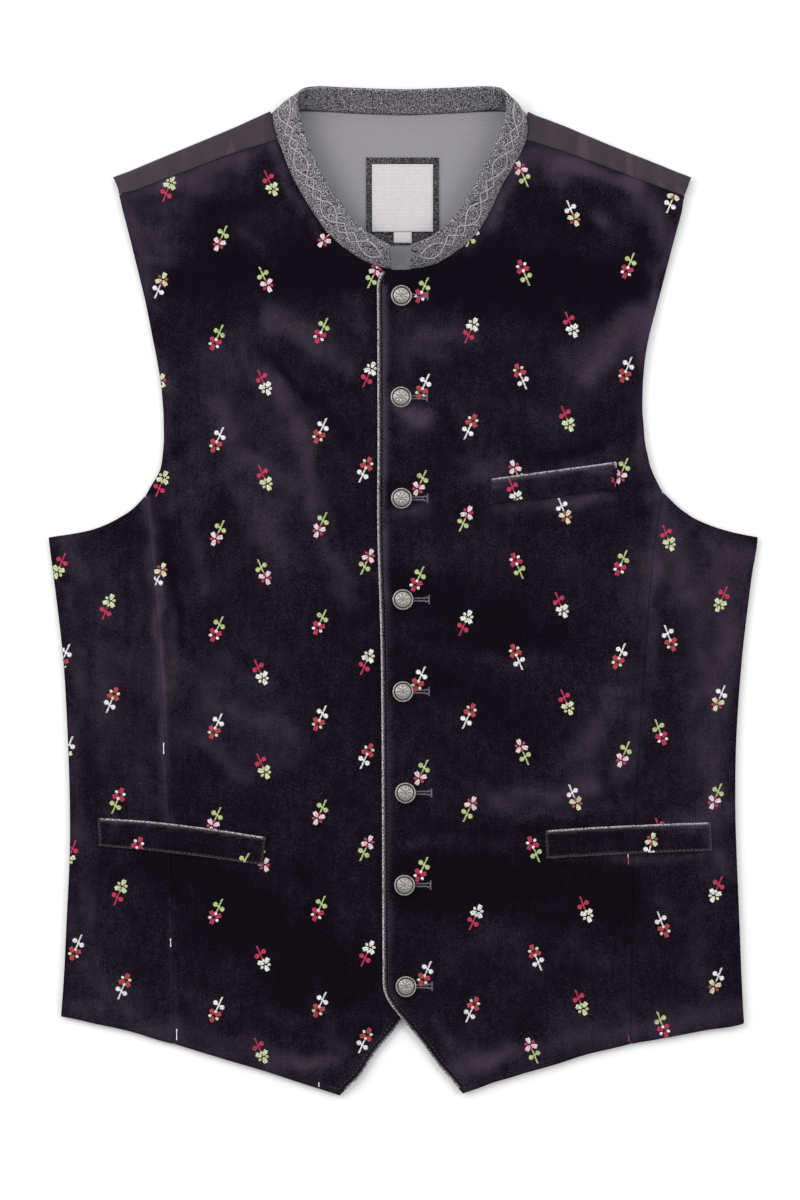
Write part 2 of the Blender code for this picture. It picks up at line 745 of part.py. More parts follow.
def main():
    """Builds the waistcoat from the surface up."""
    start_empty()
    make_back()
    make_lining()
    for label in LABELS:
        make_label_piece(label)
    make_front("front_right", -1, front_height)
    left = make_front("front_left", 1, left_front_height)
    make_side_panel("side_right", -1)
    make_side_panel("side_left", 1)
    make_collar()
    for welt in WELTS:
        make_welt(welt)
    for number, button in enumerate(BUTTONS, 1):
        make_button(number, button)
        cut_buttonhole(left, number, button)


main()
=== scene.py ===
"""The looks of an embroidered folk waistcoat that lies on its back, buttoned up.

Lengths are in metres in the frame of the solids: +X to the wearer's left, +Y up to the collar and
+Z off the surface. Places that were read off the photograph are in its pixels, and from_photo
turns them into metres.
"""

from __future__ import annotations

import logging
import math
from dataclasses import dataclass, field
from enum import Enum
from typing import Callable, Iterable, Sequence

import bmesh
import bpy
import numpy as np
from bmesh.types import BMesh
from bpy.types import ID, Material, Mesh, Node, NodeSocket, NodeTree, Object
from mathutils import Matrix, Vector, noise
from mathutils.bvhtree import BVHTree
from mathutils.geometry import delaunay_2d_cdt
from mathutils.kdtree import KDTree


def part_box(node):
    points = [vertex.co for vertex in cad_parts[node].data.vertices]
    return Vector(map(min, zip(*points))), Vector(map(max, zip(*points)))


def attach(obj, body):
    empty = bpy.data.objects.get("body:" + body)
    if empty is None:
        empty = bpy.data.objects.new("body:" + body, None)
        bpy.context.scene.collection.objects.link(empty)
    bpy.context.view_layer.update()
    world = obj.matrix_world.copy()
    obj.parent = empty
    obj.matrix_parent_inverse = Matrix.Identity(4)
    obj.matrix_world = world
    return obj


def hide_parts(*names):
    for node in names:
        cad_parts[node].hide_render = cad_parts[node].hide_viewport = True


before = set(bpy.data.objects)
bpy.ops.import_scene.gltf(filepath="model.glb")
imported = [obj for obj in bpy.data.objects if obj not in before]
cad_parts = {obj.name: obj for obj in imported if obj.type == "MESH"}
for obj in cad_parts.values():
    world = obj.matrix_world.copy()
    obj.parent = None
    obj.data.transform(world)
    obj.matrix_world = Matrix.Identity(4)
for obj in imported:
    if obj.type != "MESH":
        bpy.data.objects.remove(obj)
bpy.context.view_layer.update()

log = logging.getLogger("waistcoat")

MM = 0.001
BODY = "root"

# The photograph: 800 by 1200 pixels, seen from straight above
PHOTO_SCALE = 0.69 * MM
PHOTO_MIDDLE = (402.5, 591.0)
PHOTO_SIZE = (800, 1200)
CAMERA_HEIGHT = 3.2
SENSOR = 36.0

NOISE_SEED = 11  # without one, the noise vectors start from the clock
PAINTED_LIGHT_WANDER = 46.0  # how often to the metre the edges of the painted sheen and shade patches wander
UP_LIMIT = 0.3  # a face whose normal rises more than this belongs to a piece's upper side
HIGH = 0.2  # above everything, where rays start
DOWNWARDS = Vector((0, 0, -1))
FLOOR_GAP = 0.2 * MM

# The fronts' edge in the photograph: its line, how far from it a point still belongs to it, where
# the cutaways start and what they span, and where the hem starts
FRONT_EDGE = 381
EDGE_REACH = 12
CUTAWAY_TOP = 985
CUTAWAY_SPAN = (345, 459)
HEM_TOP = 1012

Thread = list[Vector]


def from_photo(x: float, y: float) -> Vector:
    """The place in metres, on the surface, of a pixel of the photograph."""
    return Vector((x - PHOTO_MIDDLE[0], PHOTO_MIDDLE[1] - y)) * PHOTO_SCALE


def to_photo(place: Vector) -> tuple[float, float]:
    """The photograph's pixel for a place in metres."""
    return place.x / PHOTO_SCALE + PHOTO_MIDDLE[0], PHOTO_MIDDLE[1] - place.y / PHOTO_SCALE


def smooth_step(share: float) -> float:
    """0 at 0 and below, 1 at 1 and above, with soft ends."""
    share = min(1.0, max(0.0, share))
    return share * share * (3 - 2 * share)


class Graph:
    """Adds nodes to a node tree and joins them."""

    def __init__(self, tree: NodeTree) -> None:
        """Args:
            tree: the tree to build in.
        """
        self.tree = tree

    def add(self, kind: str, inputs: dict | None = None, **settings: object) -> Node:
        """Adds a node.

        Args:
            kind: the node's type name.
            inputs: values or sockets for its inputs, by name or place.
            settings: the node's own properties.

        Returns:
            The new node.
        """
        node = self.tree.nodes.new(kind)
        for name, value in settings.items():
            setattr(node, name, value)
        for key, value in (inputs or {}).items():
            if isinstance(value, NodeSocket):
                self.tree.links.new(value, node.inputs[key])
            else:
                node.inputs[key].default_value = value
        return node

    def math(self, operation: str, first: object, second: object = 0.0) -> NodeSocket:
        """The result of a Math node on two values or sockets."""
        return self.add("ShaderNodeMath", {0: first, 1: second}, operation=operation).outputs[0]

    def mix(self, share: object, first: object, second: object) -> NodeSocket:
        """A colour between two colours, which may be sockets."""
        inputs = {"Factor": share, 6: first, 7: second}
        return self.add("ShaderNodeMix", inputs, data_type="RGBA").outputs[2]

    def noise(self, place: object, scale: float, detail: float = 2.0) -> NodeSocket:
        """Noise from 0 to 1, with scale features to the metre."""
        inputs = {"Vector": place, "Scale": scale, "Detail": detail}
        return self.add("ShaderNodeTexNoise", inputs).outputs["Fac"]

    def level(self, value: object, low: float, high: float) -> NodeSocket:
        """The value stretched so that low becomes 0 and high becomes 1, and cut off there."""
        inputs = {"Value": value, "From Min": low, "From Max": high}
        return self.add("ShaderNodeMapRange", inputs, clamp=True).outputs["Result"]

    def drawn_out(self, place: object, share: float) -> NodeSocket:
        """The place with its Y shrunk to a share, which draws a pattern out along the garment."""
        return self.add("ShaderNodeMapping", {"Vector": place, "Scale": (1.0, share, 1.0)}).outputs[0]

    def turned(self, place: object, angle: float) -> NodeSocket:
        """The place turned about Z."""
        return self.add("ShaderNodeMapping", {"Vector": place, "Rotation": (0, 0, angle)}).outputs[0]

    def wave(self, direction: str, inputs: dict) -> NodeSocket:
        """Even bands from 0 to 1 in one direction."""
        return self.add("ShaderNodeTexWave", inputs, bands_direction=direction).outputs["Fac"]

    def attribute(self, name: str) -> NodeSocket:
        """A value that the mesh carries at its points."""
        return self.add("ShaderNodeAttribute", attribute_name=name).outputs["Fac"]


def rgba(colour: Sequence[float]) -> tuple[float, float, float, float]:
    """A colour with full alpha."""
    return (colour[0], colour[1], colour[2], 1.0)


Look = tuple[NodeSocket, object, float]  # a colour, a relief and how deep the relief is
MADE: dict[str, Material] = {}


@dataclass(frozen=True)
class Finish:
    """A surface's look. Each kind adds its own colour and relief to a Principled shader."""

    name: str
    slot: str
    colour: tuple[float, float, float]
    roughness: float = 0.8
    metallic: float = 0.0
    sheen: float = 0.0
    sheen_roughness: float = 0.4
    sheen_tint: tuple[float, float, float] = (1.0, 1.0, 1.0)
    gloss: float = 0.3

    def material(self) -> Material:
        """The finish's material, made the first time that it is asked for."""
        if self.name in MADE:
            return MADE[self.name]
        made = MADE[self.name] = bpy.data.materials.new(self.name)
        made.use_nodes = True
        graph = Graph(made.node_tree)
        shader = made.node_tree.nodes["Principled BSDF"]
        looks = {
            "Base Color": self.shade(1.0),
            "Roughness": self.roughness,
            "Metallic": self.metallic,
            "Specular IOR Level": self.gloss,
            "Sheen Weight": self.sheen,
            "Sheen Roughness": self.sheen_roughness,
            "Sheen Tint": rgba(self.sheen_tint),
        }
        for name, value in looks.items():
            shader.inputs[name].default_value = value
        tone, height, depth = self.paint(graph, graph.add("ShaderNodeTexCoord").outputs["Object"])
        graph.tree.links.new(tone, shader.inputs["Base Color"])
        if depth:
            relief = graph.add("ShaderNodeBump", {"Strength": 1.0, "Distance": depth, "Height": height})
            graph.tree.links.new(relief.outputs["Normal"], shader.inputs["Normal"])
        return made

    def shade(self, factor: float) -> tuple[float, float, float, float]:
        """The finish's colour, darker or lighter by a factor."""
        return rgba([channel * factor for channel in self.colour])

    def paint(self, graph: Graph, place: NodeSocket) -> Look:
        """The finish's own pattern.

        Args:
            graph: the material's graph.
            place: the Object coordinates.

        Returns:
            The colour, a relief from 0 to 1, and how deep that is in metres, or 0 for none.
        """
        raise NotImplementedError


@dataclass(frozen=True)
class Velvet(Finish):
    """Short pile: nearly black where it is seen end on, with painted sheen where it lies over or turns."""

    # the colour of the painted sheen
    painted_sheen: tuple[float, float, float] = (0.046, 0.033, 0.054)
    # the colour of the painted highlight on the turned edges
    edge_sheen: tuple[float, float, float] = (0.50, 0.475, 0.52)

    def paint(self, graph: Graph, place: NodeSocket) -> Look:
        """Mixes painted sheen and painted fold shade, random cloudy sheen and the grain, and a painted
        highlight towards the turned edges.
        """
        edge = graph.attribute("edge")
        tall = graph.drawn_out(place, 0.25)
        grain = graph.noise(place, 1300.0, 2.0)
        # random cloudy sheen at three sizes, and the fibre grain
        layers = (
            (graph.noise(place, 30.0, 2.0), 0.42),
            (graph.noise(place, 150.0, 3.0), 0.30),
            (graph.noise(tall, 230.0, 3.0), 0.30),
            (grain, 1.3),
        )
        # the painted sheen and painted fold shade that the mesh carries
        light_level = graph.attribute("painted_light")
        for layer, strength in layers:
            swing = graph.math("MULTIPLY", graph.math("SUBTRACT", layer, 0.5), strength)
            light_level = graph.math("ADD", light_level, swing)
        tone = graph.mix(graph.level(light_level, 0.0, 1.0), self.shade(1.0), rgba(self.painted_sheen))
        # a speckled painted highlight along the turned edges
        ragged = graph.math("MULTIPLY", edge, graph.level(graph.noise(place, 1100.0, 2.0), 0.34, 0.62))
        return graph.mix(ragged, tone, rgba(self.edge_sheen)), grain, 0.3 * MM


@dataclass(frozen=True)
class Satin(Finish):
    """Smooth cloth with a fine slanting twill, soft vertical streaks and painted highlights along its
    creases.
    """

    def paint(self, graph: Graph, place: NodeSocket) -> Look:
        """Mixes close tones by streaks, paints highlights along drawn creases down the cloth, and adds a
        raised twill.
        """
        streaks = graph.level(graph.noise(graph.drawn_out(place, 0.12), 110.0, 2.0), 0.45, 0.75)
        # painted highlights along faint creases
        crease_highlights = graph.level(graph.noise(graph.drawn_out(place, 0.3), 75.0, 1.0), 0.60, 0.66)
        tone = graph.mix(graph.math("MULTIPLY", streaks, 0.7), self.shade(1.0), self.shade(1.4))
        tone = graph.mix(graph.math("MULTIPLY", crease_highlights, 0.4), tone, self.shade(2.0))
        slant = {"Vector": place, "Scale": 260.0, "Distortion": 1.5, "Detail": 1.0}
        return tone, graph.wave("DIAGONAL", slant), 0.06 * MM


@dataclass(frozen=True)
class Twill(Finish):
    """Lining cloth: small dots on slanting lines."""

    def paint(self, graph: Graph, place: NodeSocket) -> Look:
        """Crosses two slanting waves for the dots."""
        ways = (graph.turned(place, 0.62), graph.turned(place, 2.3))
        waves = [graph.wave("X", {"Vector": way, "Scale": 185.0}) for way in ways]
        dots = graph.math("MULTIPLY", waves[0], waves[1])
        fibre = graph.noise(place, 900.0, 2.0)
        mottle = graph.math("ADD", dots, graph.math("MULTIPLY", fibre, 0.5))
        tone = graph.mix(graph.level(mottle, 0.1, 1.1), self.shade(0.72), self.shade(1.16))
        return tone, dots, 0.08 * MM


@dataclass(frozen=True)
class Felt(Finish):
    """Mottled wool felt: pale and dark fibres."""

    pale: tuple[float, float, float] = (0.50, 0.475, 0.525)
    deep: tuple[float, float, float] = (0.008, 0.007, 0.010)

    def paint(self, graph: Graph, place: NodeSocket) -> Look:
        """Lays short pale and dark fibres over the middle grey."""
        bends = {"Vector": place, "Scale": 160.0, "Detail": 2.0}
        bent = graph.add("ShaderNodeTexNoise", bends).outputs["Color"]
        carried = graph.add("ShaderNodeMixRGB", {"Fac": 0.006, "Color1": place, "Color2": bent}).outputs[0]
        fibres = graph.noise(carried, 1650.0, 1.0)
        tone = graph.mix(graph.level(fibres, 0.51, 0.65), self.shade(1.0), rgba(self.pale))
        tone = graph.mix(graph.level(fibres, 0.50, 0.38), tone, rgba(self.deep))
        return tone, fibres, 0.3 * MM


@dataclass(frozen=True)
class Tape(Finish):
    """Woven label tape: fine ribs across."""

    def paint(self, graph: Graph, place: NodeSocket) -> Look:
        """Ribs across the tape, with slight unevenness."""
        ribs = graph.wave("Y", {"Vector": place, "Scale": 330.0, "Distortion": 0.8})
        mottle = graph.math("ADD", graph.math("MULTIPLY", ribs, 0.5), graph.noise(place, 500.0, 2.0))
        tone = graph.mix(graph.level(mottle, 0.4, 1.0), self.shade(0.86), self.shade(1.0))
        return tone, ribs, 0.08 * MM


@dataclass(frozen=True)
class Antiqued(Finish):
    """Silver-coloured metal, dark in its hollows and rubbed bright on what stands up."""

    tarnish: tuple[float, float, float] = (0.035, 0.032, 0.032)

    def paint(self, graph: Graph, place: NodeSocket) -> Look:
        """Darkens by the hollow attribute and by small stains."""
        stains = graph.level(graph.noise(place, 900.0, 4.0), 0.4, 0.75)
        dark = graph.math("MAXIMUM", graph.attribute("hollow"), graph.math("MULTIPLY", stains, 0.4))
        tone = graph.mix(dark, self.shade(1.0), rgba(self.tarnish))
        return tone, graph.noise(place, 1400.0, 3.0), 0.08 * MM


@dataclass(frozen=True)
class Yarn(Finish):
    """Embroidery and sewing thread: lustrous, with fine strands."""

    def paint(self, graph: Graph, place: NodeSocket) -> Look:
        """Varies the thread's tone a little from stitch to stitch, as painted highlights on the threads."""
        # painted highlights: lighter and darker stitches by noise
        change = graph.level(graph.noise(place, 900.0, 3.0), 0.34, 0.54)
        tone = graph.mix(change, self.shade(0.5), self.shade(1.0))
        return tone, graph.noise(place, 3200.0, 2.0), 0.05 * MM


@dataclass(frozen=True)
class Paper(Finish):
    """The pale floor."""

    def paint(self, graph: Graph, place: NodeSocket) -> Look:
        """Leaves the floor plain but for a slight unevenness."""
        change = graph.level(graph.noise(place, 4.0, 2.0), 0.2, 0.8)
        return graph.mix(change, self.shade(0.985), self.shade(1.0)), 0.0, 0.0


VELVET = Velvet(
    "pile_velvet",
    "velvet",
    (0.0042, 0.0030, 0.0056),
    0.9,
    sheen=0.05,
    sheen_roughness=0.35,
    sheen_tint=(0.62, 0.52, 0.72),
    gloss=0.02,
)
BACK_SATIN = Satin("slate_satin", "back_satin", (0.038, 0.029, 0.037), 0.6, gloss=0.12)
LINING = Twill("grey_twill", "lining_twill", (0.275, 0.265, 0.28), 0.8, gloss=0.1)
COLLAR_FELT = Felt("mottled_felt", "collar_felt", (0.085, 0.080, 0.092), 0.95, gloss=0.05)
PATCH_FELT = Felt(
    "patch_wool",
    "patch_felt",
    (0.019, 0.017, 0.020),
    0.95,
    gloss=0.05,
    pale=(0.20, 0.195, 0.21),
    deep=(0.004, 0.004, 0.005),
)
LABEL_TAPE = Tape("label_tape", "label_weave", (0.57, 0.545, 0.56), 0.85, gloss=0.1)
SILVER = Antiqued("antiqued_silver", "button_metal", (0.47, 0.44, 0.43), 0.4, 1.0)
FLOOR = Paper("pale_floor", "", (0.90, 0.90, 0.90), 0.9)
COUCHED_CORD = Yarn("couched_cord", "collar_felt", (0.44, 0.42, 0.455), 0.6)
SEWING_DARK = Yarn("dark_sewing", "velvet", (0.085, 0.076, 0.088), 0.7, gloss=0.1)
SEWING_PURL = Yarn("purl_sewing", "velvet", (0.19, 0.165, 0.205), 0.7, gloss=0.1)
SEWING_GREY = Yarn("grey_sewing", "collar_felt", (0.20, 0.20, 0.21), 0.6)
SEWING_WHITE = Yarn("white_sewing", "label_weave", (0.60, 0.58, 0.58), 0.6)
BUTTONHOLE_SHADE = Yarn("slit_shade", "velvet", (0.004, 0.003, 0.005), 0.9)


class Colour(Enum):
    """The embroidery's threads."""

    RASPBERRY = Yarn("raspberry_thread", "velvet", (0.60, 0.045, 0.115), 0.5)
    CORAL = Yarn("coral_thread", "velvet", (0.56, 0.070, 0.105), 0.5)
    BLUSH = Yarn("blush_thread", "velvet", (0.90, 0.76, 0.80), 0.5)
    WHITE = Yarn("white_thread", "velvet", (0.93, 0.91, 0.92), 0.5)
    LEAF = Yarn("leaf_thread", "velvet", (0.58, 0.68, 0.31), 0.5)
    ECRU = Yarn("ecru_thread", "velvet", (0.78, 0.82, 0.56), 0.5)


def put(name: str, data: ID) -> Object:
    """A new object in the scene."""
    made = bpy.data.objects.new(name, data)
    bpy.context.scene.collection.objects.link(made)
    return made


def new_piece(name: str, mesh: Mesh, finish: Finish) -> Object:
    """Puts a mesh in the scene with a finish, riding on the waistcoat.

    Args:
        name: the piece's name.
        mesh: its mesh, in place.
        finish: its finish.

    Returns:
        The piece.
    """
    mesh.materials.clear()
    mesh.materials.append(finish.material())
    piece = put(name, mesh)
    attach(piece, BODY)
    return piece


class Tool(Enum):
    """The Geometry Nodes trees that make what repeats."""

    THREAD = "thread_along_paths"
    STITCHES = "stitches_along_paths"
    BEADS = "beads_on_points"


@dataclass(frozen=True)
class Knob:
    """A named input of a Geometry Nodes tree."""

    name: str
    kind: str
    value: object


class Workshop:
    """Builds the Geometry Nodes trees and runs them on paths."""

    def __init__(self) -> None:
        """Starts with no tree made."""
        self.trees: dict[Tool, NodeTree] = {}

    def start_tree(self, tool: Tool, knobs: Iterable[Knob]) -> tuple[Graph, Node, Node]:
        """A new tree with a geometry input and output and the named inputs.

        Args:
            tool: which tree.
            knobs: its named inputs.

        Returns:
            The tree's graph, its input node and its output node.
        """
        tree = bpy.data.node_groups.new(tool.value, "GeometryNodeTree")
        tree.interface.new_socket("Geometry", in_out="INPUT", socket_type="NodeSocketGeometry")
        tree.interface.new_socket("Geometry", in_out="OUTPUT", socket_type="NodeSocketGeometry")
        for knob in knobs:
            socket = tree.interface.new_socket(knob.name, in_out="INPUT", socket_type=knob.kind)
            if knob.value is not None:
                socket.default_value = knob.value
        graph = Graph(tree)
        self.trees[tool] = tree
        return graph, graph.add("NodeGroupInput"), graph.add("NodeGroupOutput")

    def finish_tree(self, graph: Graph, shape: Node, given: Node, out: Node) -> NodeTree:
        """Ends a tree in Realize Instances and Set Material.

        Args:
            graph: the tree's graph.
            shape: the node that has made its shape.
            given: its input node.
            out: its output node.

        Returns:
            The tree.
        """
        real = graph.add("GeometryNodeRealizeInstances", {"Geometry": shape.outputs[0]})
        smooth = graph.add("GeometryNodeSetShadeSmooth", {"Geometry": real.outputs[0]})
        inputs = {"Geometry": smooth.outputs[0], "Material": given.outputs["Material"]}
        painted = graph.add("GeometryNodeSetMaterial", inputs)
        graph.tree.links.new(painted.outputs[0], out.inputs[0])
        return graph.tree

    def thread_tree(self) -> NodeTree:
        """A round thread along every path."""
        knobs = (
            Knob("Radius", "NodeSocketFloat", 0.25 * MM),
            Knob("Sides", "NodeSocketInt", 4),
            Knob("Material", "NodeSocketMaterial", None),
        )
        graph, given, out = self.start_tree(Tool.THREAD, knobs)
        line = graph.add("GeometryNodeMeshToCurve", {"Mesh": given.outputs["Geometry"]})
        inputs = {"Resolution": given.outputs["Sides"], "Radius": given.outputs["Radius"]}
        ring = graph.add("GeometryNodeCurvePrimitiveCircle", inputs)
        inputs = {"Curve": line.outputs[0], "Profile Curve": ring.outputs[0], "Fill Caps": True}
        tube = graph.add("GeometryNodeCurveToMesh", inputs)
        return self.finish_tree(graph, tube, given, out)

    def stitch_tree(self) -> NodeTree:
        """A short rounded stitch at every pitch along every path, turned by an angle."""
        knobs = (
            Knob("Pitch", "NodeSocketFloat", 2.6 * MM),
            Knob("Length", "NodeSocketFloat", 2.0 * MM),
            Knob("Radius", "NodeSocketFloat", 0.25 * MM),
            Knob("Turn", "NodeSocketFloat", 0.0),
            Knob("Material", "NodeSocketMaterial", None),
        )
        graph, given, out = self.start_tree(Tool.STITCHES, knobs)
        line = graph.add("GeometryNodeMeshToCurve", {"Mesh": given.outputs["Geometry"]})
        inputs = {"Curve": line.outputs[0], "Length": given.outputs["Pitch"]}
        spots = graph.add("GeometryNodeCurveToPoints", inputs, mode="LENGTH")
        ball = graph.add("GeometryNodeMeshUVSphere", {"Segments": 6, "Rings": 5, "Radius": 1.0})
        half = graph.math("MULTIPLY", given.outputs["Length"], 0.5)
        inputs = {0: given.outputs["Radius"], 1: given.outputs["Radius"], 2: half}
        scale = graph.add("ShaderNodeCombineXYZ", inputs)
        turn = graph.add("ShaderNodeCombineXYZ", {1: given.outputs["Turn"]})
        inputs = {"Rotation": spots.outputs["Rotation"], "Rotate By": turn.outputs[0]}
        turned = graph.add("FunctionNodeRotateRotation", inputs, rotation_space="LOCAL")
        inputs = {
            "Points": spots.outputs["Points"],
            "Instance": ball.outputs[0],
            "Rotation": turned.outputs[0],
            "Scale": scale.outputs[0],
        }
        placed = graph.add("GeometryNodeInstanceOnPoints", inputs)
        return self.finish_tree(graph, placed, given, out)

    def bead_tree(self) -> NodeTree:
        """A small bead on every point."""
        knobs = (
            Knob("Radius", "NodeSocketFloat", 0.3 * MM),
            Knob("Material", "NodeSocketMaterial", None),
        )
        graph, given, out = self.start_tree(Tool.BEADS, knobs)
        inputs = {"Segments": 8, "Rings": 6, "Radius": given.outputs["Radius"]}
        ball = graph.add("GeometryNodeMeshUVSphere", inputs)
        inputs = {"Points": given.outputs["Geometry"], "Instance": ball.outputs[0]}
        placed = graph.add("GeometryNodeInstanceOnPoints", inputs)
        return self.finish_tree(graph, placed, given, out)

    def run(self, tool: Tool, paths: Sequence[Thread], finish: Finish, sizes: dict[str, object]) -> Mesh:
        """Runs a tree on paths.

        Args:
            tool: which tree.
            paths: lists of points, each joined to the next.
            finish: the finish of what it makes.
            sizes: values for the tree's named inputs.

        Returns:
            The plain mesh.
        """
        makers = {Tool.THREAD: self.thread_tree, Tool.STITCHES: self.stitch_tree, Tool.BEADS: self.bead_tree}
        tree = self.trees.get(tool) or makers[tool]()
        points: list[Vector] = []
        edges: list[tuple[int, int]] = []
        for path in paths:
            start = len(points)
            points += path
            edges += [(start + i, start + i + 1) for i in range(len(path) - 1)]
        guide = bpy.data.meshes.new("guide")
        guide.from_pydata([tuple(point) for point in points], edges, [])
        holder = put("guide", guide)
        modifier = holder.modifiers.new(tool.value, "NODES")
        modifier.node_group = tree
        values = {**sizes, "Material": finish.material()}
        for item in tree.interface.items_tree:
            if item.item_type == "SOCKET" and item.in_out == "INPUT" and item.name in values:
                modifier[item.identifier] = values[item.name]
        evaluated = holder.evaluated_get(bpy.context.evaluated_depsgraph_get())
        mesh = bpy.data.meshes.new_from_object(evaluated)
        holder.modifiers.remove(modifier)
        bpy.data.objects.remove(holder)
        bpy.data.meshes.remove(guide)
        return mesh

    def make(
        self, name: str, tool: Tool, paths: Sequence[Thread], finish: Finish, sizes: dict[str, object]
    ) -> Object:
        """A piece that a tree makes on paths."""
        return new_piece(name, self.run(tool, paths, finish, sizes), finish)


@dataclass(frozen=True)
class Stroke:
    """A soft line between two places, which fades away from it, in pixels of the photograph."""

    x1: float
    y1: float
    x2: float
    y2: float
    width: float
    strength: float

    def near(self, x: np.ndarray, y: np.ndarray) -> tuple[np.ndarray, np.ndarray]:
        """How far along the line points lie, as a share, and how near it, from 0 to 1 on it."""
        start = from_photo(self.x1, self.y1)
        line = from_photo(self.x2, self.y2) - start
        share = ((x - start.x) * line.x + (y - start.y) * line.y) / line.length_squared
        inside = np.clip(share, 0, 1)
        away = np.hypot(x - start.x - inside * line.x, y - start.y - inside * line.y)
        return share, np.exp(-((away / (self.width * PHOTO_SCALE)) ** 2))


class Crease(Stroke):
    """A soft ridge with its strength in millimetres, or a trough if that is negative."""

    def rise(self, x: np.ndarray, y: np.ndarray) -> np.ndarray:
        """How much the crease lifts the cloth at points."""
        share, near = self.near(x, y)
        taper = 0.35 + 0.65 * np.sin(np.pi * np.clip(share, 0.02, 0.98))
        return self.strength * MM * taper * near


class PaintedLight(Stroke):
    """A patch of painted sheen, or of painted shade in a fold if its strength is negative."""

    def at(self, x: np.ndarray, y: np.ndarray) -> np.ndarray:
        """The patch's strength at points."""
        return self.strength * self.near(x, y)[1]


@dataclass(frozen=True)
class Pull:
    """A place where an edge lies a little off the solids' edge, in pixels of the photograph."""

    x: float
    y: float
    reach: float
    right: float
    down: float


PULLS = tuple(
    Pull(*row)
    for row in (
        # the front edge
        (377, 330, 60, 2.6, 0), (376, 395, 60, 2.8, 0), (377, 460, 60, 2.2, 0),
        # the hem
        (80, 1024, 26, 0, -4.2), (115, 1032, 24, 0, -4.2), (140, 1036, 20, 0, -2.4),
        (230, 1060, 40, 0, 1.0), (300, 1080, 34, 0, 1.3), (385, 1035, 24, 0.6, 0.4),
        (356, 1074, 20, 3.2, 2.2), (465, 1091, 20, -3.0, -1.2), (492, 1083, 14, 0, -1.6),
        (522, 1075, 34, 0, -1.9), (585, 1056, 28, 0, -1.9), (742, 1020, 26, 0, 4.4),
        # the armholes
        (163, 440, 30, 1.2, 0), (158, 468, 22, 3.4, 2.4), (134, 500, 24, 1.8, 2.8), (100, 525, 30, 0, 2.2),
        (643, 430, 18, 1.2, 0), (650, 460, 24, 1.4, -1.0), (672, 500, 24, 1.0, -1.2),
        (706, 522, 34, 0, -1.3), (757, 545, 20, 1.4, 0), (647, 345, 40, -2.4, 0), (140, 270, 40, -0.8, 0),
        (155, 340, 40, -1.4, 0),
        # the wearer's left cutaway
        (440, 1066, 20, -2.4, 0),
        # the side seams
        (58, 620, 50, -0.8, 0), (69, 860, 46, 1.2, 0), (748, 620, 60, 1.0, 0), (736, 735, 50, -0.9, 0),
        (739, 930, 60, 0.8, 0),
        # the pockets' welts
        (99, 820, 14, -3.6, 0), (150, 826, 45, 0, -2.6), (212, 832, 45, 0, -2.2), (600, 826, 50, 0, -1.3),
        (672, 822, 50, 0, -1.2), (495, 504, 11, -3.4, 1.0), (535, 500, 12, 0, 1.8), (560, 496, 12, 0, 2.2),
        (590, 491, 12, 0, 2.4), (619, 486, 11, -3.4, 3.8),
        # the shoulders
        (117, 177, 12, -3.6, 0), (121, 195, 9, 0, -2.6), (688, 178, 12, 3.0, 0), (684, 199, 9, -1.4, -1.0),
        (600, 136, 60, 0, 1.2),
        # the collar
        (273, 113, 16, -2.2, -0.6), (300, 194, 34, -2.0, 0.8), (533, 113, 18, -3.6, 3.0),
        (508, 182, 30, -4.0, 0),
    )
)

CREASES = tuple(
    Crease(*row)
    for row in (
        (196, 236, 300, 470, 16, 0.9), (236, 300, 322, 520, 13, 0.8), (262, 250, 345, 470, 15, -0.35),
        (150, 250, 250, 420, 14, -0.3), (640, 300, 548, 402, 17, 1.0), (628, 352, 560, 446, 12, 0.6),
        (420, 380, 500, 352, 12, 0.6), (412, 430, 470, 412, 10, 0.5), (412, 520, 462, 500, 9, 0.5),
        (414, 624, 478, 598, 10, 0.5), (412, 720, 480, 690, 10, 0.5), (416, 816, 470, 800, 9, 0.5),
        (640, 560, 690, 760, 22, 0.8), (700, 590, 728, 740, 14, 0.5), (455, 800, 640, 778, 12, 0.6),
        (470, 850, 540, 842, 10, -0.3), (168, 560, 180, 800, 12, 0.6), (112, 600, 122, 800, 12, 0.5),
        (76, 560, 92, 740, 13, 0.4), (240, 620, 300, 760, 20, 0.6), (330, 560, 372, 700, 10, 0.5),
        (220, 760, 330, 700, 13, 0.5), (330, 880, 374, 1000, 10, 0.5), (120, 1000, 300, 1062, 14, 0.6),
        (420, 1040, 520, 960, 14, 0.6), (520, 1060, 680, 1018, 13, 0.5), (560, 900, 600, 1010, 16, 0.5),
        (660, 890, 700, 1000, 14, 0.5), (200, 170, 330, 262, 14, -0.3), (590, 176, 650, 240, 13, 0.6),
        (510, 180, 480, 240, 9, 0.5), (280, 150, 305, 210, 9, 0.5),
    )
)
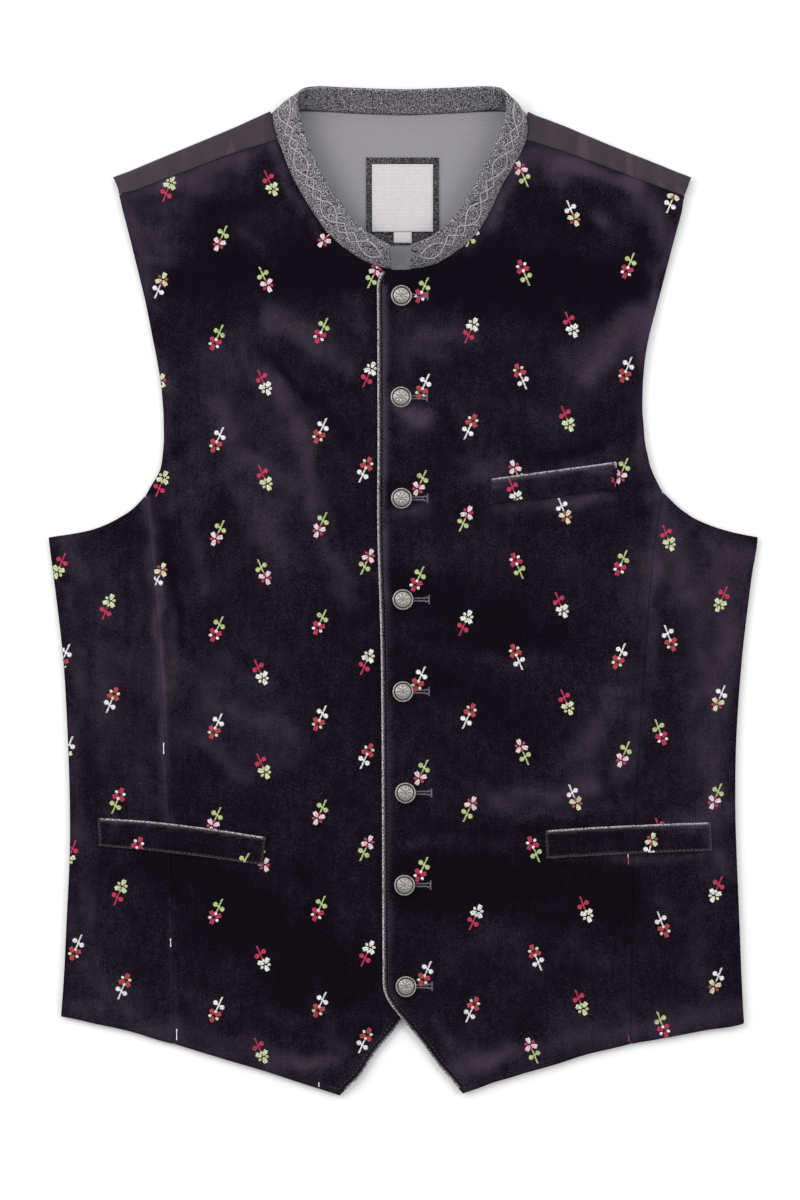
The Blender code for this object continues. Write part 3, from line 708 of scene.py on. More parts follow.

# Patches of painted sheen, and of painted shade in folds where the strength is negative
PAINTED_LIGHTS = tuple(
    PaintedLight(*row)
    for row in (
        # under the shoulder seams
        (170, 184, 240, 160, 11, 0.56), (134, 210, 180, 244, 20, 0.20), (244, 156, 268, 148, 7, 0.22),
        (128, 196, 170, 184, 8, 0.14), (534, 158, 566, 166, 15, 0.52), (566, 164, 634, 186, 10, 0.56),
        (634, 190, 668, 236, 14, 0.48),
        # beside the collar
        (274, 150, 302, 212, 6, 0.40), (308, 222, 346, 258, 7, 0.14), (516, 160, 492, 222, 9, 0.50),
        (488, 230, 448, 260, 8, 0.32),
        # along the armholes
        (122, 204, 140, 262, 8, 0.34), (142, 272, 154, 308, 6, 0.26), (158, 350, 164, 384, 6, 0.28),
        (150, 226, 170, 258, 14, 0.22), (684, 204, 650, 300, 5, 0.24), (648, 330, 640, 440, 6, 0.26),
        (650, 452, 690, 516, 12, 0.24), (612, 222, 622, 240, 10, 0.12),
        # the wearer's right chest
        (230, 200, 262, 206, 16, 0.08), (272, 316, 350, 362, 13, 0.46), (300, 330, 322, 352, 11, 0.16),
        (216, 352, 226, 424, 15, 0.44), (166, 380, 172, 500, 13, 0.22), (262, 372, 290, 394, 12, 0.20),
        (240, 330, 262, 352, 12, 0.16), (262, 372, 300, 428, 12, 0.30), (300, 420, 314, 500, 8, 0.42),
        (240, 448, 290, 488, 17, 0.40), (252, 500, 280, 556, 18, 0.36), (310, 500, 330, 566, 8, 0.22),
        (198, 440, 204, 480, 10, 0.16), (334, 560, 350, 606, 12, 0.32), (192, 520, 206, 590, 8, 0.22),
        # beside the side seam
        (148, 500, 158, 590, 5, 0.30), (155, 590, 164, 690, 4, 0.36), (164, 700, 168, 820, 5, 0.24),
        (128, 640, 186, 740, 18, 0.20), (186, 668, 216, 690, 14, 0.20), (222, 704, 284, 726, 20, 0.40),
        (208, 740, 240, 776, 12, 0.36), (252, 640, 280, 660, 16, 0.14),
        # the wearer's right side
        (58, 530, 82, 566, 12, 0.30), (98, 570, 112, 680, 18, 0.24), (74, 650, 76, 830, 9, 0.26),
        (100, 700, 150, 790, 20, 0.16), (82, 840, 90, 960, 14, 0.20), (92, 970, 128, 1004, 18, 0.26),
        (64, 1004, 96, 1010, 9, 0.40), (150, 1024, 320, 1070, 12, 0.22), (180, 990, 210, 1004, 12, 0.08),
        (276, 1062, 334, 1060, 8, 0.40), (252, 1044, 262, 1052, 10, 0.10), (312, 1000, 336, 1040, 9, 0.12),
        (338, 900, 352, 980, 8, 0.08),
        # the wearer's left chest
        (638, 318, 586, 378, 15, 0.58), (656, 300, 640, 360, 10, 0.24), (590, 346, 566, 358, 12, 0.16),
        (402, 402, 424, 416, 11, 0.80), (424, 340, 470, 330, 12, 0.34), (470, 474, 612, 456, 9, 0.26),
        (512, 412, 556, 424, 14, 0.18), (474, 458, 490, 470, 12, 0.14), (396, 512, 424, 506, 8, 0.30),
        (560, 452, 600, 446, 8, 0.12), (470, 540, 500, 556, 16, 0.12), (424, 560, 440, 570, 10, 0.16),
        (400, 596, 420, 600, 8, 0.12), (492, 656, 520, 668, 9, 0.14), (566, 560, 600, 576, 14, 0.10),
        # the wearer's left side and the lower front
        (640, 540, 636, 620, 16, 0.24), (660, 494, 684, 590, 15, 0.42), (696, 600, 706, 690, 12, 0.44),
        (652, 528, 650, 680, 8, 0.30), (712, 540, 746, 558, 13, 0.42), (716, 566, 730, 640, 15, 0.40),
        (724, 650, 712, 760, 14, 0.40), (690, 700, 700, 770, 12, 0.20), (676, 610, 684, 680, 10, 0.06),
        (690, 820, 732, 806, 11, 0.28), (714, 784, 722, 868, 12, 0.40), (620, 696, 580, 748, 16, 0.50),
        (640, 720, 626, 770, 11, 0.30), (560, 770, 590, 780, 11, 0.12), (498, 804, 592, 788, 12, 0.42),
        (448, 776, 476, 790, 14, 0.14), (416, 838, 450, 842, 7, 0.14), (492, 930, 526, 960, 16, 0.16),
        (560, 950, 600, 960, 12, 0.12), (656, 900, 674, 924, 9, 0.16), (692, 940, 706, 990, 14, 0.18),
        (464, 1066, 514, 1054, 11, 0.66), (452, 1044, 470, 1052, 10, 0.22),
        (540, 1050, 740, 1006, 12, 0.34), (560, 1020, 620, 1010, 12, 0.12),
        # small touches all over
        (120, 192, 225, 186, 7, 0.18), (580, 168, 620, 176, 7, 0.14), (494, 190, 500, 212, 6, 0.20),
        (600, 252, 650, 270, 10, 0.16), (250, 408, 300, 452, 11, 0.16), (222, 664, 262, 684, 9, 0.20),
        (70, 590, 72, 620, 7, 0.22), (136, 580, 140, 620, 7, 0.16), (742, 575, 742, 620, 6, 0.20),
        (230, 750, 290, 762, 12, 0.14), (108, 790, 110, 830, 8, 0.14), (150, 560, 160, 700, 9, 0.10),
        (136, 1026, 176, 1040, 8, 0.18), (600, 860, 720, 856, 6, 0.22), (404, 300, 404, 440, 8, 0.14),
        (493, 509, 612, 496, 6, 0.44), (491, 482, 612, 467, 4, 0.34), (490, 492, 612, 477, 7, 0.10),
        (150, 208, 190, 206, 7, 0.16), (530, 660, 556, 656, 9, 0.14), (668, 824, 700, 820, 8, 0.20),
        (352, 300, 360, 330, 8, 0.24), (178, 470, 200, 510, 8, 0.14), (172, 620, 174, 690, 6, 0.20),
        (381, 574, 384, 600, 5, 0.40), (416, 352, 446, 356, 7, 0.20), (402, 410, 416, 420, 6, 0.20),
        (452, 404, 462, 416, 6, 0.16), (240, 350, 246, 372, 6, 0.20), (226, 466, 238, 494, 7, 0.20),
        (620, 770, 626, 806, 9, 0.20), (414, 842, 424, 844, 5, 0.20), (150, 262, 176, 266, 7, 0.16),
        (270, 1010, 296, 1022, 11, 0.14), (112, 930, 150, 950, 12, 0.10), (596, 208, 608, 228, 6, 0.24),
        (276, 528, 290, 540, 9, 0.18), (322, 490, 334, 530, 5, 0.20), (312, 452, 320, 480, 5, 0.18),
        (280, 330, 294, 342, 6, 0.18), (222, 476, 236, 500, 7, 0.14), (180, 500, 186, 520, 6, 0.14),
        (190, 600, 236, 566, 12, 0.10), (98, 720, 104, 770, 9, 0.14), (102, 812, 112, 822, 6, 0.18),
        (730, 668, 730, 720, 7, 0.20), (656, 566, 658, 596, 5, 0.18), (610, 664, 634, 670, 8, 0.14),
        (580, 690, 586, 716, 6, 0.14), (520, 818, 606, 808, 5, 0.22), (698, 802, 708, 790, 6, 0.18),
        (618, 857, 636, 857, 4, 0.26), (552, 858, 576, 858, 4, 0.18), (462, 1078, 472, 1092, 7, 0.26),
        (474, 1056, 490, 1050, 7, 0.14), (270, 1068, 296, 1070, 6, 0.20), (342, 1046, 356, 1064, 7, 0.16),
        (350, 1016, 376, 1012, 7, 0.12), (638, 436, 642, 470, 6, 0.18), (552, 503, 592, 498, 4, 0.24),
        (696, 1028, 720, 1022, 6, 0.14), (552, 176, 560, 184, 6, 0.20), (598, 216, 610, 240, 6, 0.16),
        (146, 264, 154, 282, 6, 0.18), (246, 236, 260, 246, 7, 0.16), (436, 1018, 450, 1036, 7, 0.18),
        (68, 912, 72, 940, 6, 0.18),
        # painted shade in the darkest folds
        (190, 268, 352, 276, 26, -0.26), (383, 486, 384, 520, 5, -0.30), (390, 380, 390, 394, 4, -0.26),
        (452, 436, 462, 450, 7, -0.16), (164, 462, 194, 440, 7, -0.16), (153, 536, 155, 568, 4, -0.18),
        (724, 640, 738, 642, 7, -0.22), (600, 700, 606, 724, 7, -0.14), (660, 504, 684, 514, 7, -0.18),
        (650, 510, 650, 546, 6, -0.18), (556, 458, 600, 454, 6, -0.22), (262, 358, 272, 376, 5, -0.12),
        (306, 336, 322, 350, 6, -0.14), (82, 954, 92, 968, 7, -0.20), (222, 772, 238, 782, 7, -0.16),
        (144, 760, 156, 782, 8, -0.12), (270, 726, 284, 740, 7, -0.14), (248, 500, 252, 526, 6, -0.14),
        (300, 212, 308, 228, 6, -0.18), (420, 636, 486, 640, 7, -0.12), (712, 858, 722, 876, 6, -0.16),
        (440, 828, 620, 838, 6, -0.12), (218, 340, 228, 352, 6, -0.12), (240, 440, 254, 446, 7, -0.20),
        (328, 548, 332, 570, 7, -0.16), (466, 646, 500, 640, 9, -0.14), (344, 606, 356, 616, 8, -0.14),
        (566, 734, 582, 750, 8, -0.20), (618, 700, 630, 706, 7, -0.18), (512, 800, 534, 802, 6, -0.20),
        (444, 774, 456, 786, 8, -0.14), (144, 218, 156, 224, 7, -0.16), (712, 536, 720, 544, 6, -0.20),
        (498, 1054, 504, 1066, 7, -0.20), (214, 340, 222, 385, 8, -0.18), (160, 240, 196, 238, 6, -0.14),
        (722, 800, 724, 856, 7, -0.20), (296, 328, 344, 354, 7, -0.14), (300, 868, 326, 910, 10, -0.14),
        (64, 1008, 88, 1010, 7, -0.20), (310, 266, 520, 284, 24, -0.12), (200, 214, 262, 200, 10, -0.16),
        (664, 214, 668, 240, 8, -0.18), (520, 466, 600, 448, 9, -0.24), (640, 520, 642, 548, 8, -0.20),
        (684, 586, 716, 660, 12, -0.18), (220, 694, 300, 722, 10, -0.16), (262, 488, 296, 500, 10, -0.12),
        (108, 634, 126, 642, 9, -0.28), (92, 560, 100, 590, 7, -0.16), (262, 348, 306, 398, 5, -0.22),
        (318, 402, 346, 440, 9, -0.16), (176, 400, 180, 520, 6, -0.12), (166, 520, 182, 640, 5, -0.20),
        (420, 268, 610, 284, 30, -0.30), (540, 214, 592, 226, 18, -0.16), (646, 216, 634, 286, 7, -0.20),
        (600, 180, 628, 200, 5, -0.20), (400, 590, 540, 630, 24, -0.22), (400, 670, 520, 720, 24, -0.14),
        (400, 880, 610, 890, 30, -0.24), (200, 890, 340, 980, 40, -0.22), (140, 862, 240, 880, 12, -0.10),
        (490, 510, 610, 496, 6, -0.14),
    )
)


def pulled(point: Vector) -> Vector:
    """How far an outline's point moves from the solids' even shape to the cloth's own."""
    x, y = to_photo(point)
    move = Vector((0, 0))
    for pull in PULLS:
        near = math.exp(-((x - pull.x) ** 2 + (y - pull.y) ** 2) / pull.reach**2)
        move += Vector((pull.right, -pull.down)) * near
    return move * PHOTO_SCALE


def on_cutaway(x: float, y: float) -> bool:
    """Whether a pixel at the fronts' edge lies on one of the two cutaways."""
    return y > CUTAWAY_TOP and CUTAWAY_SPAN[0] < x < CUTAWAY_SPAN[1]


def bell(away: float, middle: float, width: float) -> float:
    """1 at one distance from an edge and less to both sides; middle and width are in millimetres."""
    return math.exp(-(((away - middle * MM) / (width * MM)) ** 2))


def front_edge_sheen(foot: Vector) -> float:
    """How strong the painted highlight is at a point of the fronts' edge: on the front edge and the cutaways.
    """
    x, y = to_photo(foot)
    if y < 272:  # under the collar
        return 0.0
    if abs(x - FRONT_EDGE) < EDGE_REACH:
        return 1.6
    return 1.2 if on_cutaway(x, y) else 0.0


PANEL_SEAM = ((147, 495), (154, 566), (161, 656), (165.5, 766), (171, 942), (176, 1035))


def seam_sheen(x: float, y: float) -> float:
    """The painted sheen along the wearer's right panel seam: most of all high up."""
    for start, end in zip(PANEL_SEAM, PANEL_SEAM[1:]):
        if start[1] <= y < end[1]:
            middle = start[0] + (end[0] - start[0]) * (y - start[1]) / (end[1] - start[1])
            strength = 0.4 - 0.24 * smooth_step((y - 560) / 260)
            return strength * math.exp(-(((x - middle) / 3.4) ** 2))
    return 0.0


def front_edge_light(away: float, foot: Vector) -> float:
    """The painted sheen beside the front edge, the cutaways and the hem, less a painted shade along the
    topstitching's groove at the front edge and the cutaways.
    """
    x, y = to_photo(foot)
    # painted shade along the topstitching's groove
    groove_shade = bell(away, 2.7, 1.1)
    if abs(x - FRONT_EDGE) < EDGE_REACH and y > 285:
        light = 0.8 - 0.48 * smooth_step((y - 520) / 120)
        return light * bell(away, 4.9, 2.3) - 0.5 * groove_shade
    if on_cutaway(x, y):
        return 0.12 * bell(away, 6, 4) - 0.3 * groove_shade
    return 0.12 * bell(away, 2, 4) if y > HEM_TOP else 0.0


WELT_LINES = {  # the heights in the photograph of each welt's middle at its ends
    "welt_chest": (490.5, 474.7),
    "welt_left": (844.2, 836.3),
    "welt_right": (831.7, 850.7),
}
CHEST_WELT = (488, 616)  # its ends across the photograph


def welt_edge_sheen(node: str) -> Callable[[Vector], float]:
    """How strong the painted highlight is at a point of a welt's edge: most of all along its top.

    Args:
        node: the welt.

    Returns:
        A function of the edge's point.
    """
    low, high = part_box(node)
    first, last = WELT_LINES[node]
    ends, bottom = (0.04, 0.0) if node == "welt_chest" else (0.15, 0.27)

    def glint(foot: Vector) -> float:
        """The painted highlight's strength at a point."""
        share = (foot.x - low.x) / (high.x - low.x)
        y = to_photo(foot)[1]
        if not 0.02 <= share <= 0.98:
            return ends
        return 1.3 if y < first + (last - first) * share else bottom

    return glint


def crease_rise(x: np.ndarray, y: np.ndarray) -> np.ndarray:
    """What all the hand-placed creases add."""
    return sum(crease.rise(x, y) for crease in CREASES)


def painted_light_at(x: np.ndarray, y: np.ndarray) -> np.ndarray:
    """The painted sheen and fold shade: the patches, with ragged edges and uneven strength."""
    drift = np.array([noise.noise_vector(Vector((px, py, 0)) * PAINTED_LIGHT_WANDER) for px, py in zip(x, y)])
    patches = sum(patch.at(x + drift[:, 0] * 6 * MM, y + drift[:, 1] * 6 * MM) for patch in PAINTED_LIGHTS)
    return 0.06 + patches * (1.15 + 0.5 * drift[:, 2])


class Outline:
    """A closed outline in plan, run anticlockwise."""

    def __init__(self, points: Sequence[Vector]) -> None:
        """Args:
            points: the outline's points.
        """
        self.points = [Vector(point[:2]) for point in points]
        if self.area() < 0:
            self.points.reverse()
        self.tree = KDTree(len(self.points))
        for i, point in enumerate(self.points):
            self.tree.insert((point.x, point.y, 0), i)
        self.tree.balance()

    def sides(self) -> Iterable[tuple[Vector, Vector]]:
        """Each point with the next one."""
        return zip(self.points, self.points[1:] + self.points[:1])

    def area(self) -> float:
        """The area inside, positive if the outline runs anticlockwise."""
        return sum(a.x * b.y - b.x * a.y for a, b in self.sides()) / 2

    def crossings(self, y: float) -> list[float]:
        """Where the outline crosses a height, from left to right."""
        crossed = [(a, b) for a, b in self.sides() if (a.y > y) != (b.y > y)]
        return sorted(a.x + (b.x - a.x) * (y - a.y) / (b.y - a.y) for a, b in crossed)

    @classmethod
    def of_node(cls, node: str, spacing: float) -> Outline:
        """The outline of a solid's upper side, resampled.

        Args:
            node: the solid's name.
            spacing: about how far apart the points are.

        Returns:
            The outline.
        """
        shape = merged(node)
        onward: dict[int, list[int]] = {}
        places = {vert.index: Vector(vert.co[:2]) for vert in shape.verts}
        for face in shape.faces:
            for loop in face.loops if face.normal.z > UP_LIMIT else ():
                if sum(f.normal.z > UP_LIMIT for f in loop.edge.link_faces) == 1:
                    onward.setdefault(loop.vert.index, []).append(loop.link_loop_next.vert.index)
        loops = []
        while onward:
            here = min(onward, key=lambda i: (places[i].x, places[i].y))
            loop = []
            while onward.get(here):
                loop.append(places[here])
                options = onward[here]
                onto = options.pop()
                if not options:
                    del onward[here]
                here = onto
            loops.append(loop)
        longest = max(loops, key=lambda loop: sum((a - b).length for a, b in zip(loop, loop[1:])))
        shape.free()
        return cls(resampled(longest, spacing))

    def nearest(self, x: float, y: float) -> tuple[float, Vector]:
        """The distance to the outline and the way to it.

        Args:
            x: place in metres.
            y: place in metres.

        Returns:
            The distance, and the vector from the place to the nearest point.
        """
        i = self.tree.find((x, y, 0))[1]
        here = Vector((x, y))
        best = None
        for j in (i - 1, i):
            a = self.points[j]
            b = self.points[(j + 1) % len(self.points)]
            line = b - a
            share = min(1.0, max(0.0, (here - a).dot(line) / line.length_squared))
            way = a + line * share - here
            if best is None or way.length < best.length:
                best = way
        return best.length, best

    def holds(self, x: float, y: float) -> bool:
        """Whether a place lies inside."""
        return sum(x < crossing for crossing in self.crossings(y)) % 2 == 1

    def moved(self, distance: float) -> list[Vector]:
        """The outline's points moved inwards, or outwards if the distance is negative."""
        count = len(self.points)
        found = []
        for i, point in enumerate(self.points):
            along = (self.points[(i + 1) % count] - self.points[i - 1]).normalized()
            found.append(point + Vector((-along.y, along.x)) * distance)
        return found

    def ring(self, distance: float) -> list[Vector]:
        """Points that lie a distance inside the outline."""
        near = distance * 0.93  # a point that lies nearer has crossed over at a corner
        return [spot for spot in self.moved(distance) if self.nearest(spot.x, spot.y)[0] > near]

    def fill(self, spacing: float, margin: float) -> list[Vector]:
        """Points evenly over the inside, no nearer to the outline than a margin."""
        found = []
        low_y = min(point.y for point in self.points)
        high_y = max(point.y for point in self.points)
        low_x = min(point.x for point in self.points)
        step = spacing * math.sqrt(3) / 2
        for row in range(int((high_y - low_y) / step)):
            y = low_y + (row + 0.5) * step
            crossings = self.crossings(y)
            shift = spacing / 2 if row % 2 else 0.0
            for start, end in zip(crossings[::2], crossings[1::2]):
                first = math.ceil((start - low_x - shift) / spacing)
                last = math.floor((end - low_x - shift) / spacing)
                for i in range(first, last + 1):
                    x = low_x + shift + i * spacing
                    if self.nearest(x, y)[0] > margin:
                        found.append(Vector((x, y)))
        return found


def merged(node: str) -> BMesh:
    """A solid's mesh with its corners joined."""
    shape = bmesh.new()
    shape.from_mesh(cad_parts[node].data)
    bmesh.ops.remove_doubles(shape, verts=shape.verts, dist=0.005 * MM)
    shape.normal_update()
    return shape


def resampled(loop: Sequence[Vector], spacing: float, corner: float = 24.0) -> list[Vector]:
    """The loop with evenly spaced points, its corners kept and the rest a little rounded.

    Args:
        loop: the closed loop's points.
        spacing: about how far apart the new points are.
        corner: the turn in degrees past which a point is a corner.

    Returns:
        The new points.
    """
    count = len(loop)
    points, fixed = [], []
    for i in range(count):
        before, here, after = loop[i - 1], loop[i], loop[(i + 1) % count]
        if (here - before).length == 0 or (after - here).length == 0:
            continue
        turn = math.degrees((here - before).angle(after - here))
        steps = max(1, round((after - here).length / spacing))
        for step in range(steps):
            points.append(here.lerp(after, step / steps))
            fixed.append(step == 0 and turn > corner)
    for _ in range(6):
        moved = [point.copy() for point in points]
        for i in range(len(points)):
            if not fixed[i]:
                middle = (points[i - 1] + points[(i + 1) % len(points)]) / 2
                moved[i] = points[i].lerp(middle, 0.5)
        points = moved
    return points


@dataclass
class Shell:
    """A thin cloth shell on the form of a solid that lies flat."""

    node: str
    finish: Finish
    spacing: float = 3.0 * MM
    edge_roll: float = 1.6 * MM
    sink: float = 0.0  # how deep the topstitching pulls the cloth in
    stitch_inset: float = 3.9 * MM
    grow: float = 0.0
    smoothing: int = 14
    rise: Callable[[np.ndarray, np.ndarray], np.ndarray] | None = None
    edge_sheen: Callable[[Vector], float] | None = None  # the painted highlight's strength at an edge's point
    edge_light: Callable[[float, Vector], float] | None = None  # the painted sheen and shade near the edge

    def __post_init__(self) -> None:
        """Reads the solid's outline and upper side."""
        self.outline = Outline.of_node(self.node, 2.0 * MM)
        self.outline = Outline([point + pulled(point) for point in self.outline.points])
        if self.grow:
            self.outline = Outline(self.outline.moved(-self.grow))
        shape = merged(self.node)
        self.solid = BVHTree.FromBMesh(shape)
        shape.free()
        self.top: BVHTree | None = None

    def solid_height(self, x: float, y: float, up: bool) -> float:
        """The height of the solid's upper or lower side, read a little in from its rim."""
        distance, way = self.outline.nearest(x, y)
        reach = 1.2 * MM
        if distance < reach:
            inward = -way.normalized() if distance > 1e-6 else Vector((0, 0))
            x += inward.x * (reach - distance)
            y += inward.y * (reach - distance)
        start = Vector((x, y, HIGH if up else -HIGH))
        hit = self.solid.ray_cast(start, DOWNWARDS if up else -DOWNWARDS)[0]
        if hit is None:
            hit = self.solid.find_nearest(Vector((x, y, 5 * MM)))[0]
        return hit.z

    def above(self, x: float, y: float) -> float | None:
        """The height of the cloth's upper side at a place, or None off the cloth."""
        hit = self.top.ray_cast(Vector((x, y, HIGH)), DOWNWARDS)[0]
        return None if hit is None else hit.z

    def mesh(self) -> Mesh:
        """Builds the closed shell, with its painted sheen and shade and its painted edge highlight as
        attributes.
        """
        rings = [0.45 * MM, 1.0 * MM, 1.7 * MM]
        if self.sink:
            rings += [self.stitch_inset - 0.9 * MM, self.stitch_inset, self.stitch_inset + 0.9 * MM]
        flat, faces = self.netted(rings)
        x = np.array([point.x for point in flat])
        y = np.array([point.y for point in flat])
        away = np.array([self.outline.nearest(point.x, point.y)[0] for point in flat])
        upper = np.array([self.solid_height(point.x, point.y, True) for point in flat])
        lower = np.array([self.solid_height(point.x, point.y, False) for point in flat])
        triangles = np.array([face[:] for face in faces])
        upper = smoothed(upper, triangles, self.smoothing)
        lower = smoothed(lower, triangles, self.smoothing)
        if self.rise:
            calm = np.clip(away / (12 * MM), 0, 1)
            upper = upper + self.rise(x, y) * calm
        if self.sink:
            upper = upper - self.sink * np.exp(-(((away - self.stitch_inset) / (0.9 * MM)) ** 2))
        share = np.clip(away / self.edge_roll, 0, 1)
        bulge = np.sqrt(1 - (1 - share) ** 2)
        middle = (upper + lower) / 2
        top = middle + (upper - middle) * bulge
        bottom = middle + (lower - middle) * bulge
        return self.closed(x, y, top, bottom, triangles, away)

    def netted(self, rings: Sequence[float]) -> tuple[list[Vector], list]:
        """Triangles over the whole inside of the outline.

        Args:
            rings: the distances from the outline at which points follow it.

        Returns:
            The points and the triangles.
        """
        count = len(self.outline.points)
        edges = [(i, (i + 1) % count) for i in range(count)]
        for attempt in range(5):
            spacing = self.spacing * (1 + 0.037 * attempt)
            inner = [spot for ring in rings for spot in self.outline.ring(ring)]
            inner += self.outline.fill(spacing, rings[-1] + spacing * 0.6)
            apart = {(round(spot.x / (0.35 * MM)), round(spot.y / (0.35 * MM))): spot for spot in inner}
            spots = self.outline.points + list(apart.values())
            flat, _, faces, _, _, _ = delaunay_2d_cdt(spots, edges, [], 1, 1e-6)
            covered = sum(abs((flat[b] - flat[a]).cross(flat[c] - flat[a])) / 2 for a, b, c in faces)
            if abs(covered - self.outline.area()) < 0.002 * self.outline.area():
                return flat, faces
        raise RuntimeError(f"{self.node}: the cloth has a hole")

    def closed(
        self,
        x: np.ndarray,
        y: np.ndarray,
        top: np.ndarray,
        bottom: np.ndarray,
        triangles: np.ndarray,
        away: np.ndarray,
    ) -> Mesh:
        """Joins an upper and a lower sheet at their rim.

        Args:
            x: places of the points.
            y: places of the points.
            top: heights of the upper sheet.
            bottom: heights of the lower sheet.
            triangles: the sheet's triangles, anticlockwise from above.
            away: each point's distance from the outline.

        Returns:
            The closed mesh.
        """
        count = len(x)
        a, b, c = (np.column_stack((x, y))[triangles[:, i]] for i in range(3))
        cross = (b[:, 0] - a[:, 0]) * (c[:, 1] - a[:, 1]) - (b[:, 1] - a[:, 1]) * (c[:, 0] - a[:, 0])
        triangles = np.where(cross[:, None] < 0, triangles[:, ::-1], triangles)
        directed = {(int(t[i]), int(t[(i + 1) % 3])) for t in triangles for i in range(3)}
        rim = [(p, q) for p, q in directed if (q, p) not in directed]
        points = np.concatenate((np.column_stack((x, y, top)), np.column_stack((x, y, bottom))))
        faces = [tuple(int(v) for v in t) for t in triangles]
        faces += [tuple(int(v) + count for v in t[::-1]) for t in triangles]
        faces += [(p, p + count, q + count, q) for p, q in sorted(rim)]
        mesh = bpy.data.meshes.new(self.node)
        mesh.from_pydata(points.tolist(), [], faces)
        mesh.shade_smooth()
        # painted sheen and shade, with painted bands beside the edges and along the seam
        painted_light = painted_light_at(x, y)
        edge = np.zeros(count)
        for i in np.flatnonzero(away < 30 * MM):
            foot = Vector((x[i], y[i])) + self.outline.nearest(x[i], y[i])[1]
            if self.edge_light:
                painted_light[i] += self.edge_light(away[i], foot) + seam_sheen(*to_photo(Vector((x[i], y[i]))))
            # a painted highlight along the edge, fading within about a millimetre
            glint = self.edge_sheen(foot) if self.edge_sheen else 0.0
            edge[i] = glint * math.exp(-((away[i] / ((0.6 + 0.3 * glint) * MM)) ** 2))
        for name, values in (("painted_light", np.tile(painted_light, 2)), ("edge", np.tile(edge, 2))):
            layer = mesh.attributes.new(name, "FLOAT", "POINT")
            layer.data.foreach_set("value", values.astype(np.float32))
        self.top = BVHTree.FromPolygons([Vector(p) for p in points[:count].tolist()], faces[: len(triangles)])
        return mesh

    def dress(self) -> Object:
        """Makes the piece that stands for the solid."""
        piece = new_piece(f"{self.node}_cloth", self.mesh(), self.finish)
        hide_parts(self.node)
        return piece


def smoothed(values: np.ndarray, triangles: np.ndarray, rounds: int) -> np.ndarray:
    """Heights averaged with their neighbours' several times.

    Args:
        values: the heights.
        triangles: the sheet's triangles.
        rounds: how many times.

    Returns:
        The smoothed heights.
    """
    pairs = np.concatenate((triangles[:, [0, 1]], triangles[:, [1, 2]], triangles[:, [2, 0]]))
    pairs = np.concatenate((pairs, pairs[:, ::-1]))
    weight = np.bincount(pairs[:, 0], minlength=len(values)).astype(float)
    weight[weight == 0] = 1
    for _ in range(rounds):
        total = np.bincount(pairs[:, 0], weights=values[pairs[:, 1]], minlength=len(values))
        values = values * 0.5 + total / weight * 0.5
    return values


class Shape(Enum):
    """Which end of a motif points up the garment."""

    STEM_UP = 1
    FLOWER_UP = -1


@dataclass(frozen=True)
class Variety:
    """The threads of one motif."""

    lobes: Colour
    accents: Colour
    stem: Colour


VARIETIES = {
    "P": Variety(Colour.BLUSH, Colour.RASPBERRY, Colour.LEAF),
    "R": Variety(Colour.RASPBERRY, Colour.WHITE, Colour.LEAF),
    "W": Variety(Colour.CORAL, Colour.ECRU, Colour.WHITE),
    "G": Variety(Colour.ECRU, Colour.LEAF, Colour.RASPBERRY),
    "C": Variety(Colour.WHITE, Colour.ECRU, Colour.RASPBERRY),
    "Y": Variety(Colour.ECRU, Colour.CORAL, Colour.WHITE),
}


@dataclass(frozen=True)
class Column:
    """A column of motifs on one piece: how they stand, how they lean, where they are."""

    panel: str
    shape: Shape
    lean: float
    varieties: str
    spots: tuple[tuple[float, float], ...]


